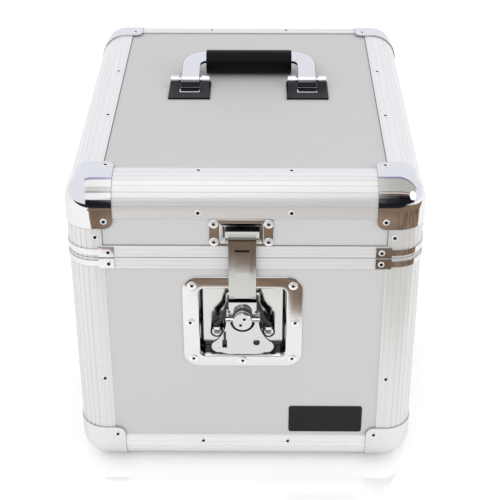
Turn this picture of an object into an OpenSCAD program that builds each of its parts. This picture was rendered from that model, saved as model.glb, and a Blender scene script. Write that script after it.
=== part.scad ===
// Record carrying case: a panelled box with rounded aluminium edges, a hinged lid,
// a recessed twist latch and a folding handle, sized for 12 inch record sleeves.
// The case stands on its feet at z = 0, with its front at -Y.

/* [Case] */
// Width over the edge extrusions
case_w = 354; // [340:1:420]
// Depth from the front face to the back face
case_d = 431; // [380:1:520]
// Height over the edge extrusions, without the feet
case_h = 342; // [330:1:420]
// Height of the lid over the edge extrusions
lid_h = 81; // [73:1:92]
// Gap between the body rim and the lid rim
parting_gap = 0.4; // [0.3:0.1:0.6]
// Height of the case above the floor
floor_gap = 3; // [2:0.5:6]

/* [Edge extrusions] */
// Outer radius of the rounded edges
edge_r = 28; // [26:1:30]
// Width of each leg of an edge extrusion
edge_leg = 36.5; // [35:0.5:42]
// Wall of the extrusions
skin = 1.5; // [1.2:0.1:1.8]
// Depth of the channel that holds a panel
channel_depth = 9.5; // [8:0.5:10]
// Width of a flute in the extrusions
flute_w = 0.9; // [0.6:0.1:1.2]

/* [Panels] */
// Thickness of the laminated panels
panel_t = 7; // [6:0.5:8]
// Clearance round a panel in its channel
panel_fit = 0.1; // [0.05:0.05:0.2]
// Thickness of the foam pads and the lining
pad_t = 2.5; // [2:0.5:4]
// Clearance round the foam
pad_fit = 0.3; // [0.2:0.1:0.5]

/* [Rims] */
// Height of the body rim
body_rim_h = 12.4; // [12:0.2:16]
// Height of the lid rim
lid_rim_h = 13; // [12:0.5:13]
// Height of the tongue under the lid rim
tongue_h = 3; // [2:0.25:3.5]
// Thickness of the tongue
tongue_t = 3; // [2:0.25:3.5]
// Clearance beside the tongue in its groove
tongue_fit = 0.6; // [0.5:0.05:0.8]
// Web between a rim's groove and its panel channel
rim_web = 1.8; // [1.5:0.1:2.5]

/* [Corners] */
// Length of a ball corner's legs, from the case corner
cap_leg = 48; // [46:1:56]
// Sheet thickness of the ball corners and rim clips
cap_t = 1.2; // [1:0.1:1.6]
// Rounding of a ball corner's inner tip
cap_tip_r = 9; // [6:1:12]
// Gap under the ball corners and clips
cap_fit = 0.05; // [0.05:0.05:0.1]
// Start of a rim clip's tab, from the case corner
clip_start = 32; // [30:0.5:34]
// Width of a rim clip's tab
clip_tab_w = 15.6; // [13:0.5:18]
// Height of a rim clip's tab
clip_tab_h = 11.4; // [10:0.2:11.6]
// Height of the band round the corner
clip_band_h = 6.5; // [5:0.5:9]

/* [Rivets] */
// Radius of a rivet's shank
rivet_r = 1.9; // [1.5:0.1:2.2]
// Radius of a small rivet's head
rivet_head_r = 3.2; // [2.8:0.1:3.6]
// Radius of a large rivet's head, on the latch and the keeper
large_head_r = 4.7; // [4:0.1:4.8]
// Height of a rivet's head
rivet_head_h = 1; // [0.8:0.1:1.2]
// Reach of a rivet below the case surface
rivet_reach = 8; // [6:0.5:8]
// Clearance round a rivet's shank
rivet_fit = 0.1; // [0.05:0.05:0.2]
// Rivets in the edges, from the case corner
rivet_inset = 30; // [30:0.5:33]
// Rivets in the ball corners, from the case corner
cap_rivet_inset = 39.5; // [38:0.5:42]
// Rivets in the clips, from the case corner
clip_rivet_inset = 42; // [38:0.5:44]
// Half the spacing of the rivets along the front and back edges
edge_rivet_x = 45.5; // [30:0.5:80]
// Half the spacing of the rivets along the side edges
edge_rivet_y = 58.5; // [30:0.5:100]
// Height of the rivets in the body posts
post_rivet_h = 113; // [80:1:180]
// Height of the rivets in the lid posts above the parting
lid_post_rivet_rise = 23.4; // [20:0.2:30]

/* [Feet] */
// Radius of a rubber foot
foot_r = 11; // [8:0.5:14]
// Foot centres, from the case edges
foot_inset = 66; // [64:1:90]
// Radius of the recess for the foot's screw head
foot_recess_r = 5; // [4.5:0.25:6]
// Radius of the foot's screw
foot_screw_r = 2; // [1.5:0.25:2.5]
// Radius of the screw's head
foot_head_r = 4; // [3.5:0.25:4.25]
// Height of the screw's head
foot_head_h = 1.8; // [1.5:0.1:2]

/* [Hinges] */
// Distance of the hinge axis behind the back face
hinge_out = 5.5; // [5.2:0.1:7]
// Radius of the hinge knuckles
knuckle_r = 4.5; // [4:0.1:4.8]
// Radius of the hinge pins
hinge_pin_r = 2; // [1.5:0.1:2.5]
// Running clearance of the pins
pin_fit = 0.05; // [0.03:0.01:0.08]
// Sideways position of the hinges
hinge_x = 85; // [60:1:110]
// Half the width of a hinge
hinge_half = 25; // [20:1:32]
// Half the width of the lid's knuckle
lid_knuckle_half = 8; // [6:0.5:12]
// Side gap between knuckles
knuckle_gap = 0.4; // [0.3:0.1:0.8]
// Thickness of a hinge leaf
leaf_t = 2; // [1.5:0.1:2.5]
// Height of the body leaf below the parting
body_leaf_h = 26; // [25:0.5:32]
// Height of the lid leaf above the parting
lid_leaf_h = 28; // [27:0.5:32]
// Distance of a leaf's plate from the hinge axis
leaf_start = 5.2; // [5:0.1:6]

/* [Latch dish] */
// Sideways position of the latch
latch_x = -2.5; // [-20:0.5:20]
// Drop of the latch's stud below the parting
stud_drop = 68.4; // [61:0.2:76]
// Width of the dish flange
dish_w = 121.7; // [116:0.5:130]
// Height of the dish flange
dish_h = 109; // [104:0.5:116]
// Corner radius of the dish flange
dish_r = 16; // [12:0.5:20]
// Drop of the dish's centre below the stud
dish_drop = 9; // [8:0.5:10]
// Width of the recess
recess_w = 86.5; // [84:0.5:92]
// Height of the recess
recess_h = 80; // [78:0.5:84]
// Corner radius of the recess
recess_r = 5; // [3:0.5:7]
// Depth of the recess floor below the case surface
recess_depth = 14.6; // [14.5:0.1:16]
// Sheet thickness of the dish and the keeper
sheet_t = 1.5; // [1.2:0.1:1.5]
// Clearance round the dish in its cut-out
cutout_fit = 0.5; // [0.3:0.1:1]
// Rivets of the dish, in from the flange's edge
dish_rivet_in = 7.4; // [6.5:0.1:8.5]

/* [Latch mechanism] */
// Running gap under and beside the sliding pieces
slide_gap = 0.3; // [0.25:0.05:0.4]
// Radius of the cam
cam_r = 11; // [10:0.5:11.5]
// Throw of the cam, half the lift of the slider
cam_throw = 2.5; // [2:0.1:3]
// Thickness of the cam
cam_t = 2.6; // [2.5:0.1:3.4]
// Play above and below the cam in the slider
cam_play = 1.1; // [1.1:0.05:1.4]
// Radius of the stud's shaft
stud_r = 5; // [4:0.25:5.5]
// Radius of the stud's spool
spool_r = 8.5; // [8:0.1:9]
// Radius of the stud's head
stud_head_r = 10.5; // [10:0.1:11]
// Height of the stud's head above the case surface
stud_top = 13; // [12.8:0.1:13.4]
// Half the width of the slider's plate
slider_half = 26; // [25:0.5:27]
// Thickness of the slider's plate
slider_t = 2.2; // [1.8:0.1:2.4]
// Sideways position of the slider's pivot posts
post_x = 26.5; // [26:0.25:28]
// Drop of the pivot posts below the stud
post_drop = 19; // [18.5:0.25:20]
// Radius of the pivot posts
post_r = 6.5; // [6:0.25:7]
// Height of the pivot posts above the case surface
post_top = 1.5; // [1:0.25:2]
// Depth of the strap's pins below the case surface
strap_pin_depth = 2.5; // [2:0.25:3]
// Radius of the strap's pins
strap_pin_r = 2; // [1.5:0.1:2.2]
// Half the width of the slider's front plate
front_plate_half = 14; // [13:0.25:14]
// Thickness of the padlock staple
staple_t = 2.5; // [2:0.1:3]
// Top of the staple above the case surface
staple_top = 6.2; // [5:0.1:6.3]

/* [Strap] */
// Width of the strap
strap_w = 27.2; // [26:0.2:28]
// Thickness of the strap
strap_t = 2.5; // [2:0.1:2.8]
// Distance of the hooked strap from the case surface
strap_off = 1.6; // [1.5:0.1:2]
// Outward tilt of the strap at rest, clear of the keeper
strap_rest_tilt = 1.5; // [1.4:0.1:2]
// Top of the strap's plate below the keeper's middle
strap_drop = 3.5; // [3.2:0.1:4.2]
// Width of the hook head
hook_w = 33.6; // [30:0.2:34]
// Height of the hook head
hook_h = 8; // [6:0.25:8.5]
// Reach of the hook into the keeper
hook_reach = 2.3; // [2:0.1:2.4]
// Width of a strap eye
eye_w = 5; // [4:0.25:5.5]
// Radius of a strap eye
eye_r = 4.3; // [3.8:0.1:4.6]
// Height of the raised field on the strap
emboss_t = 0.7; // [0.4:0.1:1]

/* [Key] */
// Height of the key's hinge above the case surface
key_hinge_h = 8; // [7.9:0.1:8.2]
// Thickness of the key plate
key_t = 2.5; // [2:0.1:2.6]
// Radius of the key's pin
key_pin_r = 1.8; // [1.5:0.1:2]
// Radius of the key's barrels
barrel_r = 3.2; // [3:0.1:3.3]
// Radius of the notch round the stud
notch_r = 12.2; // [12:0.1:12.6]
// Half the width at the key's shoulders
shoulder_half = 16.5; // [16:0.1:16.8]
// Length of the key from its hinge
key_len = 41.6; // [40:0.2:43]
// Half the distance between the key's lobes
lobe_x = 24.5; // [23:0.25:25]
// Drop of the lobes below the hinge
lobe_drop = 32; // [31:0.25:33]
// Radius of the lobes
lobe_r = 7.2; // [7:0.1:7.4]
// Radius of the flare between shoulder and lobe
flare_r = 33; // [33:0.25:34]
// Sideways position of the staple's slot
staple_x = -18.3; // [-18.6:0.1:-18]
// Width of the staple's slot
staple_slot_w = 4.8; // [4.2:0.1:5.2]
// Height of the staple's slot
staple_slot_h = 20; // [19.5:0.25:20.5]
// Middle of the slot below the hinge
staple_drop = 23.6; // [23.4:0.1:24]
// Radius of the padlock hole
padlock_r = 3.5; // [3:0.1:4]
// Sideways position of the padlock hole
padlock_x = 14.2; // [13:0.1:15]
// Drop of the padlock hole below the hinge
padlock_drop = 27; // [26:0.25:28]

/* [Keeper] */
// Width of the keeper plate
keeper_w = 63.5; // [62:0.5:70]
// Height of the keeper plate
keeper_h = 29.8; // [29.4:0.2:29.8]
// Clearance between the keeper and the lid rim
keeper_fit = 0.2; // [0.2:0.1:0.6]
// Sideways offset of the keeper from the latch
keeper_dx = -1; // [-1.5:0.1:1]
// Depth of the keeper's pocket
pocket_depth = 3.6; // [3.4:0.1:4]
// Half the spacing of the keeper rivets, sideways
keeper_rivet_x = 26.9; // [26.5:0.1:28]
// Half the spacing of the keeper rivets, up and down
keeper_rivet_z = 10.1; // [9.8:0.1:10.1]

/* [Handle] */
// Sideways position of the handle
handle_x = 1.5; // [-20:0.5:20]
// Distance of the handle's pivot behind the case centre
handle_y = 22; // [-40:1:40]
// Half the distance between the brackets
bracket_x = 64.8; // [60:0.2:80]
// Width of a bracket
bracket_w = 45.6; // [44:0.2:48]
// Length of a bracket in front of the pivot
bracket_front = 36; // [30:0.5:40]
// Length of a bracket behind the pivot
bracket_back = 9; // [6:0.5:12]
// Thickness of a bracket plate
bracket_t = 2; // [1.5:0.1:2.5]
// Height of the handle pivot above the lid panel
pivot_h = 8; // [7:0.25:9]
// Radius of the bracket ears
ear_r = 4.5; // [4:0.1:5]
// Width of an ear
ear_w = 8.5; // [7:0.25:9]
// Radius of the handle pins
handle_pin_r = 2.5; // [2:0.1:2.8]
// Width of the bail's arms
arm_w = 20.7; // [18:0.1:22]
// Thickness of the bail
bail_t = 3; // [2:0.25:4]
// Outer edge of the bail from the pivot
bail_reach = 56; // [50:0.5:64]
// Outer corner radius of the bail
bail_corner_r = 26; // [20:0.5:30]
// Inner corner radius of the bail
bail_inner_r = 7; // [4:0.5:9]
// Radius of the bail's knuckles
bail_knuckle_r = 4.3; // [3.8:0.1:4.8]
// Radius of the grip
grip_r = 14; // [11:0.25:16]
// Length of the grip
grip_len = 96; // [80:1:100]
// Distance of the grip's axis from the pivot
grip_u = 35.9; // [34:0.1:40]

/* [Badge] */
// Width of the plain badge plate
badge_w = 78; // [40:1:90]
// Height of the badge plate
badge_h = 34; // [20:1:45]
// Middle of the badge, in from the case's side
badge_inset = 92; // [82:1:110]
// Height of the badge's middle
badge_z = 59; // [45:1:90]
// Thickness of the badge
badge_t = 0.8; // [0.5:0.1:1.2]

/* [Hidden] */
$fn = 64;

// A small overlap that keeps cuts clean
cut = 1;
half_w = case_w / 2;
half_d = case_d / 2;

// Depths below the case surface
slot_t = panel_t + 2 * panel_fit;
panel_face = skin + panel_fit;
panel_back = panel_face + panel_t;
wall_t = 2 * skin + slot_t;
pad_back = wall_t + pad_fit + pad_t;

// Distances from a case corner along a leg
channel_start = edge_leg - channel_depth;
panel_edge = channel_start + 2 * panel_fit;

// Heights round the parting
parting_h = case_h - lid_h;
body_top = parting_h - parting_gap / 2;
lid_bottom = parting_h + parting_gap / 2;
groove_depth = tongue_h + tongue_fit;
body_panel_top = body_top - groove_depth - rim_web - 2 * panel_fit;
lid_panel_bottom = lid_bottom + rim_web + 2 * panel_fit;
body_clip_h = body_top - body_rim_h / 2;
lid_clip_h = lid_bottom + lid_rim_h / 2;
lining_top = body_top - body_rim_h;

// Places of the latch
stud_h = parting_h - stud_drop;
keeper_rise = stud_drop + parting_gap / 2 + lid_rim_h + keeper_fit + keeper_h / 2;
strap_top = keeper_rise - strap_drop;

// Places of the foam, clear of the ball corners' shells
pad_corner_r = edge_r - wall_t;
lining_free = pow(edge_r - pad_fit, 2) - pow(edge_r - wall_t - pad_fit, 2) - pow(edge_r - pad_back - pad_fit, 2);
lining_in = max(pad_back + pad_fit, edge_r - sqrt(lining_free));

// The whole part is moved so that its box is centred over the origin
front_reach = stud_top;
back_reach = hinge_out + knuckle_r;
shift_y = (front_reach - back_reach) / 2;

// Colours
aluminium = [0.78, 0.79, 0.80];
laminate = [0.80, 0.80, 0.80];
chrome = [0.85, 0.86, 0.88];
foam = [0.15, 0.15, 0.16];
rubber = [0.06, 0.06, 0.06];

// ---- placing ----

module placed() {
    translate([0, shift_y, floor_gap])
    children();
}

// Frames on the case faces: x runs along the face, y up it, z out of it
module on_front() {
    translate([0, -half_d, 0])
    rotate([90, 0, 0])
    children();
}

module on_back() {
    translate([0, half_d, 0])
    rotate([90, 0, 180])
    children();
}

module on_left() {
    translate([-half_w, 0, 0])
    rotate([90, 0, -90])
    children();
}

module on_right() {
    translate([half_w, 0, 0])
    rotate([90, 0, 90])
    children();
}

module on_top() {
    translate([0, 0, case_h])
    children();
}

module on_bottom() {
    rotate([180, 0, 0])
    children();
}

// The latch's frame: x sideways, y up from the stud, z out of the case surface
module at_latch() {
    translate([latch_x, -half_d, stud_h])
    rotate([90, 0, 0])
    children();
}

// The handle's frame: on the lid panel under the pivot, z up
module at_handle() {
    translate([handle_x, handle_y, case_h - panel_face])
    children();
}

module four_corners() {
    for (sx = [0, 1], sy = [0, 1])
        mirror([sx, 0, 0])
        mirror([0, sy, 0])
        children();
}

module both_sides() {
    for (s = [0, 1])
        mirror([s, 0, 0])
        children();
}

// ---- shared shapes ----

module rounded_rect(w, h, r) {
    square([w - 2 * r, h], center = true);
    square([w, h - 2 * r], center = true);
    for (sx = [-1, 1], sy = [-1, 1])
        translate([sx * (w / 2 - r), sy * (h / 2 - r)])
        circle(r);
}

module x_cylinder(r, len) {
    rotate([0, 90, 0])
    cylinder(r = r, h = len, center = true);
}

// A straight bar along x, from its middle, with a profile of depth and height
module x_bar(len) {
    rotate([90, 0, 90])
    linear_extrude(len, center = true)
    children();
}

// ---- rivets ----

dimple_r = 1.2;
dimple_h = 0.8;
head_chamfer = 0.6;

// A blind rivet whose head stands on a surface at height seat
module rivet(seat, head_r) {
    translate([0, 0, seat])
    rotate_extrude()
    polygon([
        [0, -rivet_reach - seat],
        [rivet_r, -rivet_reach - seat],
        [rivet_r, 0],
        [head_r, 0],
        [head_r, rivet_head_h - head_chamfer],
        [head_r - head_chamfer, rivet_head_h],
        [dimple_r, rivet_head_h],
        [dimple_r, rivet_head_h - dimple_h],
        [0, rivet_head_h - dimple_h]
    ]);
}

module rivet_hole() {
    translate([0, 0, -rivet_reach - 2 * rivet_fit])
    cylinder(r = rivet_r + rivet_fit, h = rivet_reach + leaf_t + 2 * cut);
}

module rivets_at(spots, head_r = rivet_head_r) {
    for (p = spots)
        translate([p[0], p[1], 0])
        rivet(p[2], head_r);
}

module holes_at(spots) {
    for (p = spots)
        translate([p[0], p[1], 0])
        rivet_hole();
}

cap_seat = cap_t + cap_fit;
signs = [-1, 1];

// Rivet places on an upright face with half width hw: [along, up, seat]
function body_edge_spots(along) = [for (s = signs) [s * along, rivet_inset, 0]];
function body_post_spots(hw) = [for (s = signs) [s * (hw - rivet_inset), post_rivet_h, 0]];
function body_cap_spots(hw) = [for (s = signs) [s * (hw - cap_rivet_inset), cap_rivet_inset, cap_seat]];
function body_clip_spots(hw) = [for (s = signs) [s * (hw - clip_rivet_inset), body_clip_h, cap_seat]];
function lid_edge_spots(along) = [for (s = signs) [s * along, case_h - rivet_inset, 0]];
function lid_post_spots(hw) =
    [for (s = signs) [s * (hw - rivet_inset), parting_h + lid_post_rivet_rise, 0]];
function lid_cap_spots(hw) =
    [for (s = signs) [s * (hw - cap_rivet_inset), case_h - cap_rivet_inset, cap_seat]];
function lid_clip_spots(hw) = [for (s = signs) [s * (hw - clip_rivet_inset), lid_clip_h, cap_seat]];

function body_face_spots(hw, along) =
    concat(body_edge_spots(along), body_post_spots(hw), body_cap_spots(hw), body_clip_spots(hw));
function lid_face_spots(hw, along) =
    concat(lid_edge_spots(along), lid_post_spots(hw), lid_cap_spots(hw), lid_clip_spots(hw));

// Rivet places on the top and the bottom
flat_x_spots = [for (sx = signs, sy = signs) [sx * edge_rivet_x, sy * (half_d - rivet_inset), 0]];
flat_y_spots = [for (sx = signs, sy = signs) [sx * (half_w - rivet_inset), sy * edge_rivet_y, 0]];
flat_cap_spots = [for (sx = signs, sy = signs)
    [sx * (half_w - cap_rivet_inset), sy * (half_d - cap_rivet_inset), cap_seat]];
flat_spots = concat(flat_x_spots, flat_y_spots, flat_cap_spots);

// Rivet places on the latch, in the latch's frame
dish_seat = sheet_t - panel_face;
dish_rivet_x = dish_w / 2 - dish_rivet_in;
dish_rivet_y = dish_h / 2 - dish_rivet_in;
dish_corner_in = 2.6;
dish_spots = concat(
    [for (sx = signs, sy = signs)
        [sx * (dish_rivet_x - dish_corner_in), sy * (dish_rivet_y - dish_corner_in) - dish_drop, dish_seat]],
    [for (sx = signs) [sx * dish_rivet_x, -dish_drop, dish_seat]],
    [for (sy = signs) [0, sy * dish_rivet_y - dish_drop, dish_seat]]
);
keeper_spots = [for (sx = signs, sy = signs)
    [keeper_dx + sx * keeper_rivet_x, keeper_rise + sy * keeper_rivet_z, dish_seat]];

// Rivet places on the hinges, in the back face's frame
leaf_rivet_x = 16;
leaf_low_rivet = 19.5;
leaf_rim_rivet = 9;
leaf_seat = leaf_t + cap_fit;
body_leaf_spots = [for (h = signs, s = signs, z = [leaf_rim_rivet, leaf_low_rivet])
    [h * hinge_x + s * leaf_rivet_x, parting_h - z, leaf_seat]];
lid_leaf_spots = [for (h = signs, s = signs, z = [leaf_rim_rivet, leaf_low_rivet + cut])
    [h * hinge_x + s * leaf_rivet_x, parting_h + z, leaf_seat]];

// ---- edge extrusions ----

flute_angles = [14, 26, 38, 52, 64, 76];
flat_flutes = [28.6, 34.4];
chamber_tip = edge_r - sqrt(pow(edge_r - skin, 2) - pow(edge_r - skin - slot_t, 2));
chamber_end = channel_start - skin;

// Both legs of a shape drawn along x
module both_legs() {
    children();
    mirror([1, -1, 0])
    children();
}

// Section with its corner at the origin and its legs along +x and +y
module edge_section() {
    difference() {
        square(edge_leg);
        translate([wall_t, wall_t])
        square(edge_leg);
        difference() {
            square(edge_r);
            translate([edge_r, edge_r])
            circle(edge_r);
        }
        both_legs()
        translate([channel_start, skin])
        square([edge_leg, slot_t]);
        both_legs()
        intersection() {
            translate([edge_r, edge_r])
            circle(edge_r - skin);
            translate([chamber_tip, 0])
            square([chamber_end - chamber_tip, skin + slot_t]);
        }
        both_legs()
        for (f = flat_flutes)
            translate([f - flute_w / 2, -flute_w])
            square([flute_w, flute_w * 1.3]);
        for (a = flute_angles)
            translate([edge_r, edge_r])
            rotate(180 + a)
            translate([edge_r, 0])
            circle(flute_w / 2);
    }
}

// Rivet holes on both legs of an edge that runs along z
module edge_holes(along) {
    for (s = signs) {
        translate([rivet_inset, 0, s * along])
        rotate([90, 0, 0])
        rivet_hole();
        translate([0, rivet_inset, s * along])
        rotate([0, -90, 0])
        rivet_hole();
    }
}

// Holes for the ball corner rivets fall on the panels, so an edge has its own two only
module edge_bar(len, along) {
    difference() {
        linear_extrude(len, center = true)
        edge_section();
        edge_holes(along);
    }
}

edge_len_x = case_w - 2 * edge_leg;
edge_len_y = case_d - 2 * edge_leg;

module front_base_edge() {
    translate([0, -half_d, 0])
    rotate([90, 0, 90])
    edge_bar(edge_len_x, edge_rivet_x);
}

module left_base_edge() {
    translate([-half_w, 0, 0])
    rotate([90, 0, 0])
    edge_bar(edge_len_y, edge_rivet_y);
}

module flipped_to_lid() {
    translate([0, 0, case_h])
    mirror([0, 0, 1])
    children();
}

// An upright post at the front left corner, with one rivet in each leg
module front_left_post(bottom, top, rivet_z) {
    difference() {
        translate([-half_w, -half_d, bottom])
        linear_extrude(top - bottom)
        edge_section();
        on_front()
        holes_at([[-half_w + rivet_inset, rivet_z, 0]]);
        on_left()
        holes_at([[half_d - rivet_inset, rivet_z, 0]]);
    }
}

module body_post() {
    front_left_post(edge_leg, body_top, post_rivet_h);
}

module lid_post() {
    front_left_post(lid_bottom, case_h - edge_leg, parting_h + lid_post_rivet_rise);
}

// ---- rims ----

rim_flutes = [0.3, 0.72];
groove_t = tongue_t + 2 * tongue_fit;

module rim_flute_cuts(h) {
    for (f = rim_flutes)
        translate([-flute_w, f * h - flute_w / 2])
        square([flute_w * 1.3, flute_w]);
}

module body_rim_section() {
    difference() {
        translate([0, body_top - body_rim_h])
        square([wall_t, body_rim_h]);
        translate([skin, body_top - body_rim_h - cut])
        square([slot_t, body_panel_top + 2 * panel_fit - body_top + body_rim_h + cut]);
        translate([(wall_t - groove_t) / 2, body_top - groove_depth])
        square([groove_t, groove_depth + cut]);
        translate([0, body_top - body_rim_h])
        rim_flute_cuts(body_rim_h);
    }
}

module lid_rim_section() {
    difference() {
        union() {
            translate([0, lid_bottom])
            square([wall_t, lid_rim_h]);
            translate([(wall_t - tongue_t) / 2, lid_bottom - tongue_h])
            square([tongue_t, tongue_h + rim_web / 2]);
        }
        translate([skin, lid_panel_bottom - 2 * panel_fit])
        square([slot_t, lid_rim_h]);
        translate([0, lid_bottom])
        rim_flute_cuts(lid_rim_h);
    }
}

module front_rim(spots) {
    difference() {
        translate([0, -half_d, 0])
        x_bar(edge_len_x)
        children();
        on_front()
        holes_at(spots);
    }
}

module back_rim(spots) {
    difference() {
        mirror([0, 1, 0])
        translate([0, -half_d, 0])
        x_bar(edge_len_x)
        children();
        on_back()
        holes_at(spots);
    }
}

module left_rim(spots) {
    difference() {
        translate([-half_w, 0, 0])
        rotate([90, 0, 0])
        linear_extrude(edge_len_y, center = true)
        children();
        on_left()
        holes_at(spots);
    }
}

module right_rim(spots) {
    mirror([1, 0, 0])
    left_rim(spots)
    children();
}

// ---- panels ----

module flat_panel() {
    difference() {
        translate([panel_edge - half_w, panel_edge - half_d, -panel_back])
        cube([case_w - 2 * panel_edge, case_d - 2 * panel_edge, panel_t]);
        holes_at(flat_spots);
    }
}

// An upright panel in a face's frame
module wall_panel(hw, bottom, top, spots) {
    difference() {
        translate([panel_edge - hw, bottom, -panel_back])
        cube([2 * (hw - panel_edge), top - bottom, panel_t]);
        holes_at(spots);
    }
}

module body_panel(hw, along, more = []) {
    wall_panel(hw, panel_edge, body_panel_top, concat(body_face_spots(hw, along), more));
}

module lid_panel(hw, along, more = []) {
    wall_panel(hw, lid_panel_bottom, case_h - panel_edge, concat(lid_face_spots(hw, along), more));
}

// A foam pad the size of the inside, rounded clear of the ball corners
module foam_pad() {
    linear_extrude(pad_t)
    rounded_rect(case_w - 2 * (wall_t + pad_fit), case_d - 2 * (wall_t + pad_fit), pad_corner_r);
}

// ---- corners ----

// A ball corner's shell at a case corner whose edges run along +x, +y and +z
module ball_corner() {
    inner = edge_r + cap_fit;
    outer = inner + cap_t;
    run = cap_leg - edge_r;
    translate([edge_r, edge_r, edge_r]) {
        intersection() {
            difference() {
                sphere(outer);
                sphere(inner);
            }
            translate([-2 * edge_r, -2 * edge_r, -2 * edge_r])
            cube(2 * edge_r);
        }
        for (turn = [[0, 0, 0], [90, 0, 90], [-90, -90, 0]])
            rotate(turn) {
                // quarter tube up the vertical edge
                linear_extrude(run)
                intersection() {
                    difference() {
                        circle(outer);
                        circle(inner);
                    }
                    translate([-2 * edge_r, -2 * edge_r])
                    square(2 * edge_r);
                }
            }
        cap_plate([0, 0, 0], run, inner);
        cap_plate([1, 0, 0], run, inner);
        cap_plate([0, 1, 0], run, inner);
    }
}

// One flat leg of a ball corner with a rounded tip and a rivet hole
module cap_plate(which, run, inner) {
    turn = which[0] == 1 ? [90, 0, 90] : (which[1] == 1 ? [-90, -90, 0] : [0, 0, 0]);
    rivet_at = cap_rivet_inset - edge_r;
    rotate(turn)
    translate([0, 0, -inner - cap_t])
    linear_extrude(cap_t)
    difference() {
        union() {
            square([run, run - cap_tip_r]);
            square([run - cap_tip_r, run]);
            translate([run - cap_tip_r, run - cap_tip_r])
            circle(cap_tip_r);
        }
        translate([rivet_at, rivet_at])
        circle(rivet_r + rivet_fit);
    }
}

module base_corner() {
    translate([-half_w, -half_d, 0])
    ball_corner();
}

// A clip round the front left corner: a band and two riveted tabs
module rim_clip(z) {
    inner = edge_r + cap_fit;
    difference() {
        translate([-half_w, -half_d, z]) {
            translate([edge_r, edge_r, -clip_band_h / 2])
            rotate([0, 0, 180])
            rotate_extrude(angle = 90)
            translate([inner, 0])
            square([cap_t, clip_band_h]);
            clip_arm();
            mirror([1, -1, 0])
            clip_arm();
        }
        on_front()
        holes_at([[-half_w + clip_rivet_inset, z, 0]]);
        on_left()
        holes_at([[half_d - clip_rivet_inset, z, 0]]);
    }
}

module clip_arm() {
    translate([edge_r, -cap_seat, -clip_band_h / 2])
    cube([clip_start - edge_r + cut, cap_t, clip_band_h]);
    translate([clip_start, -cap_seat, -clip_tab_h / 2])
    cube([clip_tab_w, cap_t, clip_tab_h]);
}

// ---- hinges ----

knuckle_split = lid_knuckle_half + knuckle_gap;

// One leaf below the parting, in a frame on the hinge axis: y out of the back, z up
module leaf(height, rim_h, halves, spots) {
    difference() {
        union() {
            translate([-hinge_half, cap_fit - hinge_out, -height])
            cube([2 * hinge_half, leaf_t, height - leaf_start]);
            translate([-hinge_half, -panel_face - hinge_out, -height])
            cube([2 * hinge_half, panel_face + cut, height - parting_gap / 2 - rim_h - pad_fit]);
            for (k = halves) {
                translate([k[0], 0, 0])
                rotate([0, 90, 0])
                cylinder(r = knuckle_r, h = k[1] - k[0]);
                translate([k[0], cap_fit - hinge_out, -leaf_start - cut])
                cube([k[1] - k[0], leaf_t, leaf_start + cut - parting_gap]);
                translate([k[0], cap_fit - hinge_out, -leaf_start])
                cube([k[1] - k[0], hinge_out, leaf_start - parting_gap]);
            }
        }
        x_cylinder(hinge_pin_r + pin_fit, 4 * hinge_half);
        for (s = signs, z = spots)
            translate([s * leaf_rivet_x, -hinge_out, -z])
            rotate([-90, 0, 0])
            rivet_hole();
    }
}

module at_hinges() {
    for (s = signs)
        translate([s * hinge_x, half_d + hinge_out, parting_h])
        children();
}

// ---- latch ----

recess_floor = -recess_depth;
slider_bottom = recess_floor + slide_gap;
slider_up = slider_bottom + slider_t;
collar_r = 7.5;

module dish_flange() {
    translate([0, -dish_drop])
    rounded_rect(dish_w, dish_h, dish_r);
}

module recess_outline(grow) {
    translate([0, -dish_drop])
    rounded_rect(recess_w + 2 * grow, recess_h + 2 * grow, recess_r + grow);
}

// The slider: a yoke round the cam, a folded front plate, a staple and two pivot posts
slider_low = -31;
slider_high = 20;
shoulder_h = -12;
yoke_half = 17;
front_plate_low = 1;
front_plate_back = 1;
front_plate_front = 3;
cam_slot_half = cam_r + cam_throw + pad_fit;
clevis_w = eye_w + 2 * slide_gap;
clevis_floor = -strap_pin_depth - eye_r - 2 * slide_gap;
stud_notch_r = 10.2;
pin_overhang = 0.3;

// A plate that is wide round the posts and narrow beside the cam
module slider_outline() {
    polygon([
        [-slider_half, slider_low],
        [slider_half, slider_low],
        [slider_half, shoulder_h],
        [yoke_half, shoulder_h + slider_half - yoke_half],
        [yoke_half, slider_high],
        [-yoke_half, slider_high],
        [-yoke_half, shoulder_h + slider_half - yoke_half],
        [-slider_half, shoulder_h]
    ]);
}

module pivot_posts() {
    for (s = signs)
        translate([s * post_x, -post_drop, slider_bottom])
        cylinder(r = post_r, h = post_top - slider_bottom);
}

module clevis_cuts() {
    for (s = signs)
        translate([s * post_x, -post_drop, 0]) {
            translate([-clevis_w / 2, -2 * post_r, clevis_floor])
            cube([clevis_w, 4 * post_r, 2 * post_r - clevis_floor]);
            translate([0, 0, -strap_pin_depth])
            x_cylinder(strap_pin_r + pin_fit, 3 * post_r);
        }
}

// The strap, drawn hooked, in a frame on its hinge axis
hinge_y = -post_drop;
hinge_z = -strap_pin_depth;
strap_mid = strap_off + strap_t / 2;
strap_low = 24;
strap_join = 25.4;
hook_neck_h = 4.6;
lean = atan2(strap_mid - hinge_z, strap_join - hinge_y);
leg_run = (strap_join - hinge_y) / cos(lean);
leg_over = 0.6;
leg_in = 14.6;
leg_out = 17.6;
leg_tab_in = 8;
leg_tab_h = 2.6;
eye_in = post_x - eye_w / 2;
eye_out = post_x + eye_w / 2;
leg_straight = 7.2;
hook_back = -hook_reach;
hook_low = strap_top - hook_neck_h;

// The legs' edges from eye to plate: [sideways, up the leg]
leg_outer = [[30, 9.6], [26, 13.2], [22.6, 18], [20.6, 25], [leg_out, 33.5]];
leg_inner = [[leg_in, 33.5], [17.6, 27], [17.6, 17], [19.5, 12.5]];

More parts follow.
